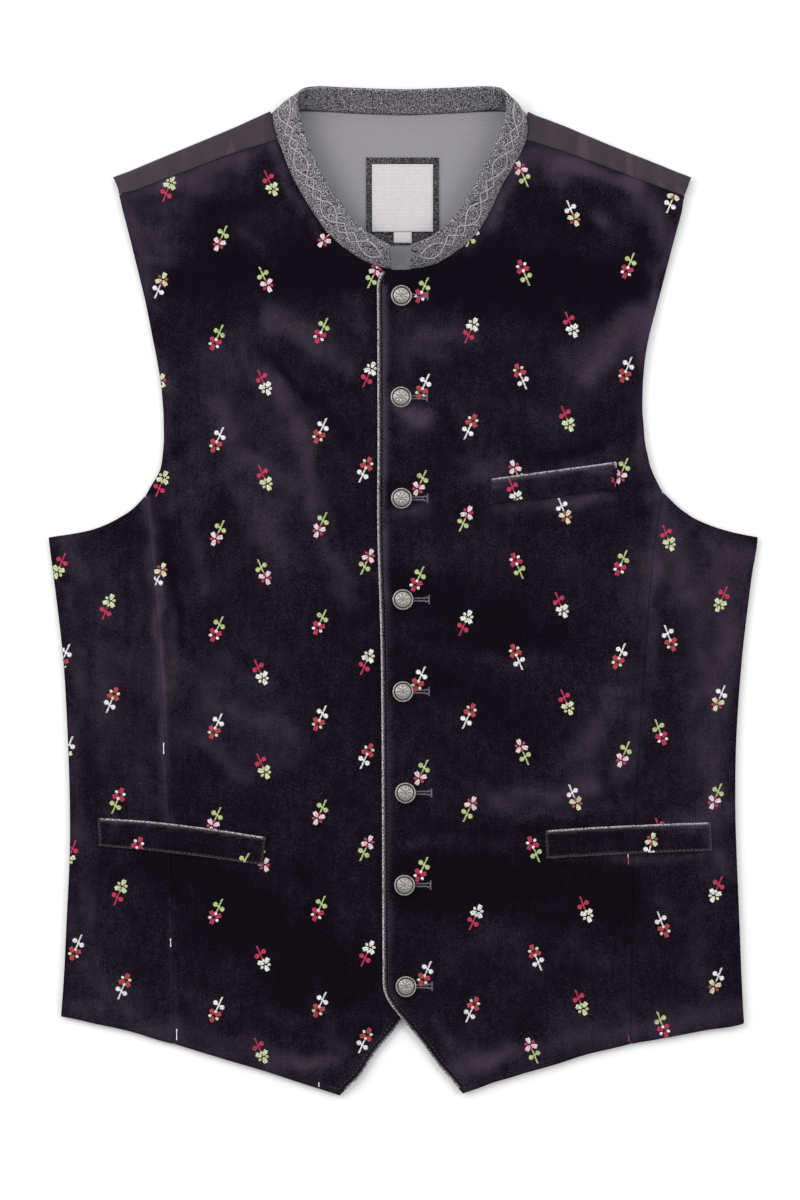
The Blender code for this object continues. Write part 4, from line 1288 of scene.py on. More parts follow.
UP, DOWN = Shape.STEM_UP, Shape.FLOWER_UP
CHART = (
    Column("front_right", DOWN, 22, "GY", ((168, 191), (160, 287))),
    Column("front_right", DOWN, 22, "YGY", ((158, 388), (161, 485), (159, 577))),
    Column(
        "front_right", UP, 24, "PRWPRWPRW",
        ((222, 238), (218, 337), (218.5, 439), (219, 532), (218, 628), (217, 725), (215.7, 818.5),
         (217.5, 910), (217.5, 1008)),
    ),
    Column(
        "front_right", UP, -24, "GPCGPCGPCG",
        ((270, 183), (264.7, 279), (263.4, 382), (264, 477), (263, 571), (260, 671), (262.3, 765),
         (261.3, 857.6), (262, 957), (260, 1049)),
    ),
    Column("front_right", UP, 40, "P", ((328.5, 236),)),
    Column(
        "front_right", UP, 24, "RWPRWPRW",
        ((322.5, 330), (321.5, 430), (321.6, 524), (321, 621), (321, 717), (321, 811), (320, 907),
         (321, 1003)),
    ),
    Column(
        "front_right", DOWN, 24, "PCWPCWPCW",
        ((373, 277.2), (368.2, 376), (364.4, 471), (366.2, 563), (365.9, 663), (365.7, 757),
         (365.4, 849), (366.6, 954), (363.9, 1041)),
    ),
    Column(
        "side_right", DOWN, 22, "GWRGW",
        ((107.5, 608), (111.7, 701), (117.2, 801.5), (119.4, 893), (123.2, 987)),
    ),
    Column("side_right", UP, 22, "GWYGW", ((61, 565), (65, 656), (68.3, 748), (71.5, 852), (77.3, 946))),
    Column(
        "front_left", UP, 24, "RWPRWPRW",
        ((423, 290), (424, 386), (421, 482), (418.5, 578), (420, 678), (422.5, 771), (422.5, 868),
         (426, 972)),
    ),
    Column(
        "front_left", DOWN, 24, "PCWPCWPCW",
        ((471.5, 236), (470, 332), (469.3, 428), (464.6, 520), (464.4, 624), (467.7, 717), (468.5, 810),
         (474.5, 918), (471, 1010)),
    ),
    Column(
        "front_left", DOWN, -22, "PRWPRWPRWP",
        ((523, 176), (524.5, 274.5), (521.5, 378), (517, 474.5), (518, 567), (517.5, 658), (523.5, 753),
         (534.5, 850), (536.5, 958), (532.8, 1051)),
    ),
    Column(
        "front_left", UP, -22, "YCGYCGYCG",
        ((571.5, 213), (570, 324), (566, 418), (563, 510), (560, 604), (565.5, 701), (573.5, 796),
         (584.4, 908), (579.7, 1001)),
    ),
    Column(
        "front_left", UP, 22, "RWPRWP",
        ((629, 265), (626.6, 369), (622.6, 470), (621.7, 562), (620, 655), (624.2, 753)),
    ),
    Column("front_left", DOWN, 22, "Y", ((671, 202),)),
    Column(
        "side_left", UP, -20, "GWRGWR",
        ((667, 537), (668.6, 637), (659.3, 731), (659.5, 829.4), (661.6, 923), (661.2, 1023)),
    ),
    Column(
        "side_left", UP, 22, "GYPCY",
        ((722, 598), (719.6, 697), (716.2, 795), (716.8, 888), (716.5, 979)),
    ),
    Column("welt_right", DOWN, 22, "R", ((136, 850.4),)),
    Column("welt_right", UP, 30, "P", ((243, 863.8),)),
    Column("welt_left", DOWN, 14, "Y", ((649.7, 846.8),)),
    Column("welt_chest", UP, -22, "C", ((513.5, 491),)),
)


@dataclass(frozen=True)
class Snippet:
    """The edge of a motif that a seam caught: a few upright stitches, in pixels."""

    panel: str
    x: float
    y: float
    length: float
    colour: Colour


SNIPPETS = (
    Snippet("side_right", 160.5, 656, 3, Colour.WHITE),
    Snippet("side_right", 162.5, 673, 3, Colour.WHITE),
    Snippet("side_right", 164, 748, 11, Colour.WHITE),
    Snippet("side_right", 171, 942, 8, Colour.WHITE),
    Snippet("front_right", 177, 1034, 11, Colour.WHITE),
    Snippet("front_right", 319, 1084, 4, Colour.WHITE),
    Snippet("front_left", 620.4, 176, 5, Colour.WHITE),
    Snippet("welt_chest", 611.5, 480, 5, Colour.RASPBERRY),
    Snippet("welt_chest", 613.2, 480.5, 4, Colour.RASPBERRY),
    Snippet("welt_chest", 614.8, 485, 4, Colour.RASPBERRY),
    Snippet("front_left", 628.5, 1038, 5, Colour.RASPBERRY),
    Snippet("front_left", 627.7, 855.6, 3, Colour.WHITE),
    Snippet("front_left", 628.2, 860.5, 7, Colour.RASPBERRY),
)


def axes(angle: float) -> tuple[Vector, Vector]:
    """The ways along and across a direction, in degrees anticlockwise from the stem."""
    way = Vector((-math.sin(math.radians(angle)), math.cos(math.radians(angle))))
    return way, Vector((way.y, -way.x))


@dataclass
class Motif:
    """A small flower and its stem with two round leaves, in satin stitch."""

    place: Vector
    turn: float
    mirrored: bool
    variety: Variety
    lobe_reach: float = 4.9 * MM
    lobe_width: float = 3.0 * MM
    leaf_radius: float = 1.65 * MM
    leaf_out: float = 2.75 * MM
    stem_end: float = 13.6 * MM
    leaf_joint: float = 7.9 * MM
    flower_drop: float = 5.2 * MM  # how far the flower's middle lies below the motif's
    pitch: float = 0.5 * MM
    petal_lift: float = 0.42 * MM  # how high the stitches stand
    knot_lift: float = 0.40 * MM
    stem_lift: float = 0.36 * MM
    stalk_lift: float = 0.34 * MM

    def threads(self) -> list[tuple[Colour, Thread]]:
        """All the motif's threads, flat, with their height above the cloth as z."""
        made: list[tuple[Colour, Thread]] = []
        for angle in (52, -50, 178):
            made += self.lobe(angle)
        for angle in (2, 116, -114):
            made += self.accent(angle)
        made += self.stem()
        for side in (1, -1):
            made += self.leaf(side, -0.6 * MM * side)
        rotation = Matrix.Rotation(self.turn, 2)
        flip = -1 if self.mirrored else 1
        placed = []
        for colour, thread in made:
            points = []
            for point in thread:
                flat = rotation @ Vector((flip * point.x, point.y - self.flower_drop)) + self.place
                shake = noise.noise_vector(Vector((flat.x, flat.y, point.z)) * 2500) * (0.13 * MM)
                points.append(Vector((flat.x + shake.x, flat.y + shake.y, point.z)))
            placed.append((colour, points))
        return placed

    def stitch(self, start: Vector, end: Vector, lift: float) -> Thread:
        """One stitch that rises out of the cloth and goes back in."""
        middle = (start + end) / 2
        ends = [Vector((point.x, point.y, -0.1 * MM)) for point in (start, end)]
        return [ends[0], Vector((middle.x, middle.y, lift)), ends[1]]

    def lobe(self, angle: float) -> list:
        """Stitches from a petal's vein out to its rim, on both sides.

        Args:
            angle: the petal's direction, in degrees anticlockwise from the stem.

        Returns:
            The stitches with their colour.
        """
        way, across = axes(angle)
        inner, outer = 0.9 * MM, self.lobe_reach
        count = round((outer - inner) / self.pitch)
        stitches = []
        for i in range(count + 1):
            share = i / count
            half = self.lobe_width / 2 * (0.34 + 0.66 * math.sin(math.pi * 0.78 * share**1.1))
            middle = way * (inner + (outer - inner) * share * 0.9)
            for side in (1, -1):
                start = middle + across * (side * 0.12 * MM)
                end = middle + across * (side * half) + way * (0.45 * MM * share)
                stitches.append((self.variety.lobes, self.stitch(start, end, self.petal_lift)))
        tip = way * outer
        stitches.append((self.variety.lobes, self.stitch(tip - way * MM, tip, self.petal_lift)))
        return stitches

    def accent(self, angle: float) -> list:
        """A small knot of stitches between two petals."""
        way, across = axes(angle)
        stitches = []
        for i, size in enumerate((0.55, 0.9, 1.0, 0.85, 0.5)):
            half = size * MM
            middle = way * (2.0 * MM + i * 0.45 * MM)
            start, end = middle - across * half, middle + across * half
            stitches.append((self.variety.accents, self.stitch(start, end, self.knot_lift)))
        return stitches

    def stem(self) -> list:
        """Slanting stitches from above the flower to the stem's end."""
        stitches = []
        low, high = 4.6 * MM, self.stem_end
        count = round((high - low) / (self.pitch * 1.25))
        for i in range(count + 1):
            y = low + (high - low) * i / count
            half = 0.42 * MM if y < self.stem_end - 2 * MM else 0.55 * MM
            start, end = Vector((-half, y - 0.35 * MM)), Vector((half, y + 0.35 * MM))
            stitches.append((self.variety.stem, self.stitch(start, end, self.stem_lift)))
        return stitches

    def leaf(self, side: int, along: float) -> list:
        """Stitches round a small eyelet, on a short stalk."""
        middle = Vector((side * self.leaf_out, self.leaf_joint + along))
        stitches = []
        count = 14
        for i in range(count):
            angle = math.tau * i / count
            way = Vector((math.cos(angle), math.sin(angle)))
            start, end = middle + way * (0.35 * MM), middle + way * self.leaf_radius
            stitches.append((self.variety.stem, self.stitch(start, end, self.knot_lift)))
        for i in range(3):
            x = side * (0.35 + 0.4 * i) * MM
            y = self.leaf_joint + along * i / 3
            start, end = Vector((x, y - 0.45 * MM)), Vector((x, y + 0.45 * MM))
            stitches.append((self.variety.stem, self.stitch(start, end, self.stalk_lift)))
        return stitches


COVERS = {  # the pieces that lie over each panel
    "front_right": ("front_left", "welt_right"),
    "front_left": ("welt_left", "welt_chest"),
    "side_right": ("welt_right",),
    "side_left": ("welt_left",),
}


@dataclass
class Embroidery:
    """All the motifs, laid on the cloth pieces and cut off at their seams."""

    workshop: Workshop
    shells: dict[str, Shell]
    neck: Outline
    radius: float = 0.24 * MM
    margin: float = 0.4 * MM  # how near to a piece's edge a stitch may end

    def paths(self) -> dict[Colour, list[Thread]]:
        """Every thread, by colour, on the cloth."""
        found: dict[Colour, list[Thread]] = {colour: [] for colour in Colour}
        for column in CHART:
            shell = self.shells[column.panel]
            over = [self.neck, *(self.shells[name].outline for name in COVERS.get(column.panel, ()))]
            for spot, letter in zip(column.spots, column.varieties, strict=True):
                place = from_photo(*spot)
                turn = math.radians(-column.lean) + (0 if column.shape is UP else math.pi)
                for colour, thread in Motif(place, turn, column.lean < 0, VARIETIES[letter]).threads():
                    laid = self.laid(thread, shell, over)
                    if laid:
                        found[colour].append(laid)
        for snippet in SNIPPETS:
            for side in (-0.3, 0.3):
                start = from_photo(snippet.x + side, snippet.y - snippet.length / 2)
                end = from_photo(snippet.x - side, snippet.y + snippet.length / 2)
                thread = [Vector((*start.lerp(end, i / 4), 0.25 * MM)) for i in range(5)]
                laid = self.laid(thread, self.shells[snippet.panel], ())
                if laid:
                    found[snippet.colour].append(laid)
        return found

    def laid(self, thread: Thread, shell: Shell, over: Sequence[Outline]) -> Thread | None:
        """The thread on the cloth, or None where it would run off it or under another piece."""
        middle = (thread[0] + thread[-1]) / 2
        if any(outline.holds(middle.x, middle.y) for outline in over):
            return None
        points = []
        for point in thread:
            height = shell.above(point.x, point.y)
            if height is None:
                return None
            points.append(Vector((point.x, point.y, height + point.z)))
        if shell.outline.nearest(middle.x, middle.y)[0] < self.margin:
            return None
        return points

    def dress(self) -> list[Object]:
        """One piece for each thread colour."""
        sizes = {"Radius": self.radius, "Sides": 4}
        return [
            self.workshop.make(f"embroidery_{colour.name.lower()}", Tool.THREAD, threads, colour.value, sizes)
            for colour, threads in self.paths().items()
        ]


@dataclass(frozen=True)
class Band:
    """A section of the collar from its front end to the centre back, in millimetres."""

    seam_out: float
    seam_up: float
    seam_z: float
    free_out: float
    free_up: float
    lap: float  # how much higher the wearer's left half stands, on the lapped front


COLLAR_BANDS = (
    Band(8.3, 221.2, 5.4, 8.8, 236.9, 2.5),
    Band(20.7, 224.4, 5.4, 17.9, 242.2, 2.4),
    Band(31.7, 230.0, 5.4, 25.5, 247.4, 0.5),
    Band(45.5, 240.5, 5.4, 34.5, 256.0, 0.0),
    Band(54.5, 250.7, 5.4, 40.9, 264.6, 0.0),
    Band(66.9, 271.5, 5.4, 51.0, 279.8, 0.0),
    Band(78.0, 291.5, 5.4, 60.3, 298.0, 0.0),
    Band(85.0, 308.5, 5.4, 67.0, 314.2, 0.0),
    Band(88.2, 321.0, 5.0, 70.8, 327.4, 0.0),
    Band(88.0, 328.4, 4.4, 71.8, 335.8, 0.0),
    Band(83.6, 331.4, 4.0, 70.6, 341.3, 0.0),
    Band(75.8, 331.4, 3.9, 66.8, 344.8, 0.0),
    Band(60.0, 331.2, 3.8, 57.0, 345.8, 0.0),
    Band(38.0, 329.8, 3.8, 36.2, 344.9, 0.0),
    Band(0.0, 328.4, 3.8, 0.0, 343.8, 0.0),
)


def spline(knots: Sequence[Vector], steps: int) -> list[Vector]:
    """Points on a smooth curve through the knots.

    Args:
        knots: the points to go through.
        steps: how many points there are for each stretch.

    Returns:
        The curve's points.
    """
    points = [knots[0].copy()]
    for i in range(len(knots) - 1):
        p = (knots[max(i - 1, 0)], knots[i], knots[i + 1], knots[min(i + 2, len(knots) - 1)])
        square = p[0] * 2 - p[1] * 5 + p[2] * 4 - p[3]
        cube = p[1] * 3 - p[0] - p[2] * 3 + p[3]
        for step in range(1, steps + 1):
            t = step / steps
            points.append((p[1] * 2 + (p[2] - p[0]) * t + square * t**2 + cube * t**3) / 2)
    return points


@dataclass
class Collar:
    """The felt stand collar with its couched cord and edge stitching."""

    workshop: Workshop
    wall: float = 2.5 * MM
    height: float = 22.0 * MM
    seam_gap: float = 1.7 * MM
    end_reach: float = 3.4 * MM
    bulge: float = 0.8 * MM
    tuck: float = 0.2  # how far the band reaches past its seam, as a share of its height
    repeats: int = 5  # from a front end up to the last oval before the middle of the back
    oval_length: float = 18.7 * MM
    diamond_length: float = 9.6 * MM
    pattern_start: float = 6.2 * MM
    pattern_half: float = 5.8 * MM
    cord_radius: float = 0.38 * MM

    def __post_init__(self) -> None:
        """Lays out the two edges of the band's middle."""
        halves = []
        for side in (1, -1):
            sections = []
            for band in COLLAR_BANDS:
                lap = band.lap if side > 0 else 0.0
                base = Vector((band.seam_out, band.seam_up, band.seam_z + lap)) * MM
                plan = Vector((band.free_out, band.free_up)) * MM - base.xy
                start = base + plan.normalized().to_3d() * self.seam_gap
                rise = math.sqrt(self.height**2 - plan.length_squared)
                end = Vector((band.free_out * MM, band.free_up * MM, start.z + rise))
                if side > 0 and not sections:
                    start.x -= self.end_reach
                    end.x -= self.end_reach
                mirror = Vector((side, 1, 1))
                sections.append((start * mirror, end * mirror))
            halves.append(sections)
        sections = halves[0] + halves[1][-2::-1]
        self.starts = spline([start for start, end in sections], 8)
        self.ends = spline([end for start, end in sections], 8)
        for point in self.starts + self.ends:
            point.xy += pulled(point)
        self.marks = [0.0]
        middles = [(a + b) / 2 for a, b in zip(self.starts, self.ends)]
        for a, b in zip(middles, middles[1:]):
            self.marks.append(self.marks[-1] + (b - a).length)

    def frame_at(self, i: int) -> tuple[Vector, Vector, Vector]:
        """The band's seam end, free end and outward direction at a station."""
        last = len(self.starts) - 1
        along = (self.starts[min(i + 2, last)] - self.starts[max(i - 2, 0)]).normalized()
        outward = along.cross(self.ends[i] - self.starts[i]).normalized()
        return self.starts[i], self.ends[i], outward

    def surface(self, i: int, share: float, lift: float) -> Vector:
        """A point of the wall: share across from seam to free edge, lift outwards of its middle."""
        start, end, outward = self.frame_at(i)
        bow = self.bulge * 4 * share * (1 - share)
        return start.lerp(end, share) + outward * (bow + lift)

    def at(self, mark: float, share: float, lift: float) -> Vector:
        """A point of the wall at a distance along the band."""
        mark = min(max(mark, 0.0), self.marks[-1])
        i = int(np.searchsorted(self.marks, mark)) - 1
        i = min(max(i, 0), len(self.marks) - 2)
        part = (mark - self.marks[i]) / (self.marks[i + 1] - self.marks[i])
        return self.surface(i, share, lift).lerp(self.surface(i + 1, share, lift), part)

    def band(self) -> Mesh:
        """The closed band with rounded edges."""
        half = self.wall / 2
        round_off = 0.055
        shares = sorted({-self.tuck, 0.0, 0.07, *[i / 14 for i in range(2, 13)], 0.93, 0.965, 0.988, 1.0})
        shape = bmesh.new()
        rings = []
        stations = len(self.starts)
        for i in range(stations):
            end_ease = min(i, stations - 1 - i)
            thin = (0.45, 0.8, 0.95)[end_ease] if end_ease < 3 else 1.0
            ring = []
            for sign in (1, -1):
                run = shares if sign > 0 else shares[-2:0:-1]
                for share in run:
                    ease = min(1.0, (1 - share) / round_off)
                    lift = half * thin * math.sqrt(max(0.0, 1 - (1 - ease) ** 2))
                    lift *= 0.6 if share < 0 else 1.0
                    ripple = 0.12 * MM * noise.noise(self.surface(i, share, 0) * 90)
                    ring.append(shape.verts.new(self.surface(i, share, sign * lift + ripple)))
            rings.append(ring)
        size = len(rings[0])
        for first, second in zip(rings, rings[1:]):
            for j in range(size):
                k = (j + 1) % size
                shape.faces.new((first[j], second[j], second[k], first[k]))
        shape.faces.new(rings[0])
        shape.faces.new(rings[-1][::-1])
        bmesh.ops.recalc_face_normals(shape, faces=shape.faces)
        mesh = bpy.data.meshes.new("collar_felt")
        shape.to_mesh(mesh)
        shape.free()
        mesh.shade_smooth()
        return mesh

    def pattern(self) -> list[Thread]:
        """The two couched lines: long ovals with two small diamonds between each pair."""
        lift = self.wall / 2 + self.cord_radius * 0.6
        repeat = self.oval_length + 2 * self.diamond_length
        length = self.marks[-1]
        natural = self.repeats * repeat + self.oval_length
        stretch = (length / 2 - self.pattern_start) / natural
        steps = int((length - 2 * self.pattern_start) / (0.9 * MM))
        lines: list[Thread] = []
        for side in (1, -1):
            line = []
            for step in range(steps + 1):
                mark = self.pattern_start + (length - 2 * self.pattern_start) * step / steps
                run = (min(mark, length - mark) - self.pattern_start) / stretch
                spot = run % repeat
                if spot < self.oval_length:
                    offset = math.sin(math.pi * spot / self.oval_length) ** 0.9
                else:
                    part = ((spot - self.oval_length) / self.diamond_length) % 1.0
                    offset = -(1 - abs(2 * part - 1)) * 0.74
                across = 0.5 + side * offset * self.pattern_half / self.height
                line.append(self.at(mark, across, lift))
            lines.append(line)
        return lines

    def edge_line(self, share: float) -> Thread:
        """A line along the band on its outer side."""
        return [self.surface(i, share, self.wall / 2) for i in range(1, len(self.starts) - 1)]

    def neck(self) -> Outline:
        """The outline of what lies under the collar or inside it."""
        return Outline([self.surface(i, -self.tuck / 2, 0.0).xy for i in range(len(self.starts))])

    def dress(self) -> list[Object]:
        """The band, its cords and its stitching."""
        band = new_piece("collar_band", self.band(), COLLAR_FELT)
        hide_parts("collar")
        cord = {"Radius": self.cord_radius, "Sides": 6}
        sewing = {"Pitch": 2.3 * MM, "Length": 1.9 * MM, "Radius": 0.2 * MM, "Turn": 0.0}
        make = self.workshop.make
        return [
            band,
            make("collar_couching", Tool.THREAD, self.pattern(), COUCHED_CORD, cord),
            make("collar_stitching", Tool.STITCHES, [self.edge_line(0.86)], SEWING_GREY, sewing),
        ]


def on_circle(count: int, radius: float, height: float, start: float = 0.0) -> Thread:
    """Points evenly round a circle, from start of a step on."""
    angles = [math.tau * (i + start) / count for i in range(count)]
    return [Vector((radius * math.cos(angle), radius * math.sin(angle), height)) for angle in angles]


@dataclass
class Buttons:
    """Eight domed buttons with a beaded rim and a small rosette."""

    workshop: Workshop
    radius: float = 7.3 * MM
    dome: float = 3.0 * MM
    dome_radius: float = 5.3 * MM
    seat_drop: float = 3.9 * MM  # how far its seat lies below the top of the plain button
    bead_ring: float = 6.5 * MM
    rim_beads: int = 40
    bead_radius: float = 0.42 * MM
    shank: float = 2.6 * MM
    petals: int = 8

    def outline(self) -> list[tuple[float, float, float]]:
        """The turned outline: radius, height and hollow share, from the middle out and under."""
        rows = [(0.0, self.dome + 0.55 * MM, 0.0)]
        for step in range(1, 9):
            radius = self.dome_radius * step / 8
            rows.append((radius, self.cap_height(radius), 0.35))
        rows += [
            (5.5 * MM, 2.4 * MM, 1.0),
            (5.75 * MM, 2.1 * MM, 1.0),
            (6.05 * MM, 2.2 * MM, 0.8),
            (6.3 * MM, 2.55 * MM, 0.2),
            (6.75 * MM, 2.65 * MM, 0.0),
            (7.1 * MM, 2.4 * MM, 0.1),
            (self.radius, 1.9 * MM, 0.3),
            (7.15 * MM, 1.2 * MM, 0.8),
            (6.2 * MM, 0.6 * MM, 1.0),
            (3.0 * MM, 0.25 * MM, 1.0),
            (1.0 * MM, 0.2 * MM, 1.0),
        ]
        return rows

    def cap_height(self, radius: float) -> float:
        """The dome's height at a radius."""
        share = min(1.0, radius / self.dome_radius)
        return self.dome * math.sqrt(1 - (share * 0.62) ** 2) + 0.5 * MM

    def blank(self) -> BMesh:
        """The turned cap and its shank, closed."""
        shape = bmesh.new()
        hollow = shape.verts.layers.float.new("hollow")
        sides = 48
        rings = []
        rows = self.outline()
        rows += [(1.0 * MM, -self.shank, 1.0), (0.0, -self.shank, 1.0)]
        for radius, height, dark in rows:
            ring = []
            for i in range(1 if radius == 0 else sides):
                angle = math.tau * i / sides
                vert = shape.verts.new((radius * math.cos(angle), radius * math.sin(angle), height))
                vert[hollow] = dark
                ring.append(vert)
            rings.append(ring)
        for inner, outer in zip(rings, rings[1:]):
            for i in range(sides):
                j = (i + 1) % sides
                if len(inner) == 1:
                    shape.faces.new((inner[0], outer[i], outer[j]))
                elif len(outer) == 1:
                    shape.faces.new((inner[j], inner[i], outer[0]))
                else:
                    shape.faces.new((inner[i], outer[i], outer[j], inner[j]))
        bmesh.ops.recalc_face_normals(shape, faces=shape.faces)
        return shape

    def petal(self, shape: BMesh, angle: float, start: float, end: float, width: float) -> None:
        """Adds a raised petal that lies on the dome.

        Args:
            shape: the button's mesh.
            angle: the petal's direction, in radians.
            start: the radius where it starts.
            end: the radius where it ends.
            width: how wide it is.
        """
        hollow = shape.verts.layers.float["hollow"]
        way = Vector((math.cos(angle), math.sin(angle)))
        side = Vector((-way.y, way.x))
        rows = []
        for i in range(7):
            share = i / 6
            radius = start + (end - start) * share
            half = width / 2 * max(0.06, math.sin(math.pi * share) ** 0.7)
            row = []
            for j in range(5):
                offset = j / 2 - 1
                flat = way * radius + side * (half * offset)
                lift = 0.42 * MM * (1 - offset**2) * max(0.1, math.sin(math.pi * share)) - 0.12 * MM
                vert = shape.verts.new((flat.x, flat.y, self.cap_height(flat.length) + lift))
                vert[hollow] = 0.0 if j in (1, 2, 3) else 0.7
                row.append(vert)
            foot = way * radius
            vert = shape.verts.new((foot.x, foot.y, self.cap_height(radius) - 0.4 * MM))
            vert[hollow] = 1.0
            rows.append(row + [vert])
        faces = []
        for below, above in zip(rows, rows[1:]):
            for j in range(6):
                k = (j + 1) % 6
                faces.append(shape.faces.new((below[j], below[k], above[k], above[j])))
        faces.append(shape.faces.new(rows[0][::-1]))
        faces.append(shape.faces.new(rows[-1]))
        bmesh.ops.recalc_face_normals(shape, faces=faces)

    def pattern(self) -> Mesh:
        """One button's mesh about its own middle, with its seat at zero height."""
        shape = self.blank()
        for i in range(self.petals):
            angle = math.tau * i / self.petals
            self.petal(shape, angle, start=1.0 * MM, end=4.5 * MM, width=1.9 * MM)
        beads = on_circle(self.rim_beads, self.bead_ring, 2.62 * MM)
        for radius in (3.6 * MM, 4.7 * MM):
            beads += on_circle(self.petals, radius, self.cap_height(radius), 0.5)
        beads.append(Vector((0, 0, self.cap_height(0) + 0.25 * MM)))
        beads += on_circle(6, 0.8 * MM, self.cap_height(0.8 * MM) + 0.12 * MM)
        sizes = {"Radius": self.bead_radius}
        small = self.workshop.run(Tool.BEADS, [[bead] for bead in beads], SILVER, sizes)
        shape.from_mesh(small)
        mesh = bpy.data.meshes.new("button")
        shape.to_mesh(mesh)
        shape.free()
        bpy.data.meshes.remove(small)
        mesh.shade_smooth()
        return mesh

    def dress(self) -> list[Object]:
        """A finished button in place of each plain one."""
        pattern = self.pattern()
        pieces = []
        for name in sorted(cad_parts):
            if not name.startswith("button_"):
                continue
            low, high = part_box(name)
            mesh = pattern.copy()
            middle = (low + high) / 2
            spin = Matrix.Rotation(0.7 * len(pieces), 4, "Z")
            mesh.transform(Matrix.Translation((middle.x, middle.y, high.z - self.seat_drop)) @ spin)
            piece = new_piece(f"{name}_domed", mesh, SILVER)
            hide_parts(name)
            pieces.append(piece)
        return pieces


@dataclass
class Buttonholes:
    """Keyhole buttonholes beside the buttons."""

    workshop: Workshop
    cloth: Shell
    start: float = 6.9 * MM
    end: float = 17.2 * MM
    half: float = 0.95 * MM
    eye_radius: float = 1.5 * MM
    eye_inset: float = 0.9 * MM  # the eye's middle, back from the end
    bar: float = 2.9 * MM  # half as long as the bar at the end
    slit_step: float = 2.4 * MM
    above_cloth: float = 0.1 * MM

    def on_cloth(self, x: float, y: float, lift: float) -> Vector:
        """A point on the front, lifted."""
        return Vector((x, y, self.cloth.above(x, y) + lift))

    def lip(self, x: float, y: float, side: int) -> Thread:
        """One lip of the slit and its half of the eye, for a button's middle."""
        points = [(x + self.start, y + side * self.half), (x + self.end - 2.2 * MM, y + side * self.half)]
        for turn in range(1, 6):
            angle = math.pi * (1 - turn / 6)
            out = x + self.end - self.eye_inset + self.eye_radius * math.cos(angle)
            points.append((out, y + side * self.eye_radius * math.sin(angle)))
        return [self.on_cloth(px, py, self.above_cloth) for px, py in points]

    def dress(self) -> list[Object]:
        """Purl stitches along both lips and round the eye, a bar at the end, and a dark thread in each slit
        as painted shade.
        """
        lips: list[Thread] = []
        slit_shades: list[Thread] = []
        bars: list[Thread] = []
        for number in range(1, 9):
            low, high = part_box(f"button_{number}")
            middle = (low + high) / 2
            x, y = middle.x, middle.y
            lips += [self.lip(x, y, side) for side in (1, -1)]
            # a dark thread along each slit is painted shade inside it
            slit = [x + self.start + i * self.slit_step for i in range(5)]
            slit_shades.append([self.on_cloth(place, y, -0.05 * MM) for place in slit])
            bar_x = x + self.end + 0.8 * MM
            rows = [y + (i / 3 - 1) * self.bar for i in range(7)]
            bars.append([self.on_cloth(bar_x, place, self.above_cloth) for place in rows])
        purl = {"Pitch": 0.5 * MM, "Length": 1.15 * MM, "Radius": 0.26 * MM, "Turn": math.pi / 2}
        slit = {"Radius": 0.4 * MM, "Sides": 6}
        make = self.workshop.make
        return [
            make("buttonhole_purl", Tool.STITCHES, lips + bars, SEWING_PURL, purl),
            make("buttonhole_slit_shade", Tool.THREAD, slit_shades, BUTTONHOLE_SHADE, slit),
        ]


@dataclass
class Back:
    """The satin back with its shoulders rolled forward."""

    levels: int = 2

    def mesh(self) -> Mesh:
        """The solid's form, finer, with faint creases across the shoulder strips."""
        shape = merged("back")
        bmesh.ops.join_triangles(
            shape,
            faces=shape.faces,
            angle_face_threshold=math.radians(25),
            angle_shape_threshold=math.radians(60),
        )
        mesh = bpy.data.meshes.new("back_satin")
        shape.to_mesh(mesh)
        shape.free()
        holder = put("back_guide", mesh)
        finer = holder.modifiers.new("finer", "SUBSURF")
        finer.subdivision_type = "SIMPLE"
        finer.levels = finer.render_levels = self.levels
        fine = bpy.data.meshes.new_from_object(holder.evaluated_get(bpy.context.evaluated_depsgraph_get()))
        bpy.data.objects.remove(holder)
        for vert in fine.vertices:
            lift = smooth_step((vert.co.y - 0.27) / 0.01) * smooth_step((vert.co.z - 2 * MM) / (2 * MM))
            fold = noise.noise(Vector((vert.co.x * 55, vert.co.y * 9, 3.0)))
            vert.co.z += 0.7 * MM * lift * fold
            vert.co.xy += pulled(vert.co.xy)
        fine.shade_smooth()
        return fine

    def dress(self) -> Object:
        """The back's piece."""
        piece = new_piece("back_satin", self.mesh(), BACK_SATIN)
        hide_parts("back")
        return piece


@dataclass
class Topstitching:
    """Lines of sewing along the edges, on the cloth."""

    workshop: Workshop
    pitch: float = 2.7 * MM
    length: float = 2.1 * MM
    radius: float = 0.2 * MM
    lift: float = 0.04 * MM
    widest_gap: float = 5 * MM  # past which a line of sewing starts anew

    def line(self, shell: Shell, inset: float, keep: Callable[[Vector], bool]) -> list[Thread]:
        """Paths that follow a shell's outline, an inset inside it, where keep allows.

        Args:
            shell: the cloth.
            inset: the distance from its edge.
            keep: tells whether a point of the line is sewn.

        Returns:
            The sewn stretches.
        """
        runs: list[Thread] = [[]]
        for point in shell.outline.ring(inset):
            height = shell.above(point.x, point.y)
            sewn = height is not None and keep(point)
            far = bool(runs[-1]) and (runs[-1][-1].xy - point).length > self.widest_gap
            if far or not sewn:
                runs.append([])
            if sewn:
                runs[-1].append(Vector((point.x, point.y, height + self.lift)))
        return [run for run in runs if len(run) > 2]

    def dress(self, name: str, lines: list[Thread], finish: Finish) -> Object:
        """A piece of stitches along lines."""
        sizes = {"Pitch": self.pitch, "Length": self.length, "Radius": self.radius, "Turn": 0.0}
        return self.workshop.make(name, Tool.STITCHES, lines, finish, sizes)


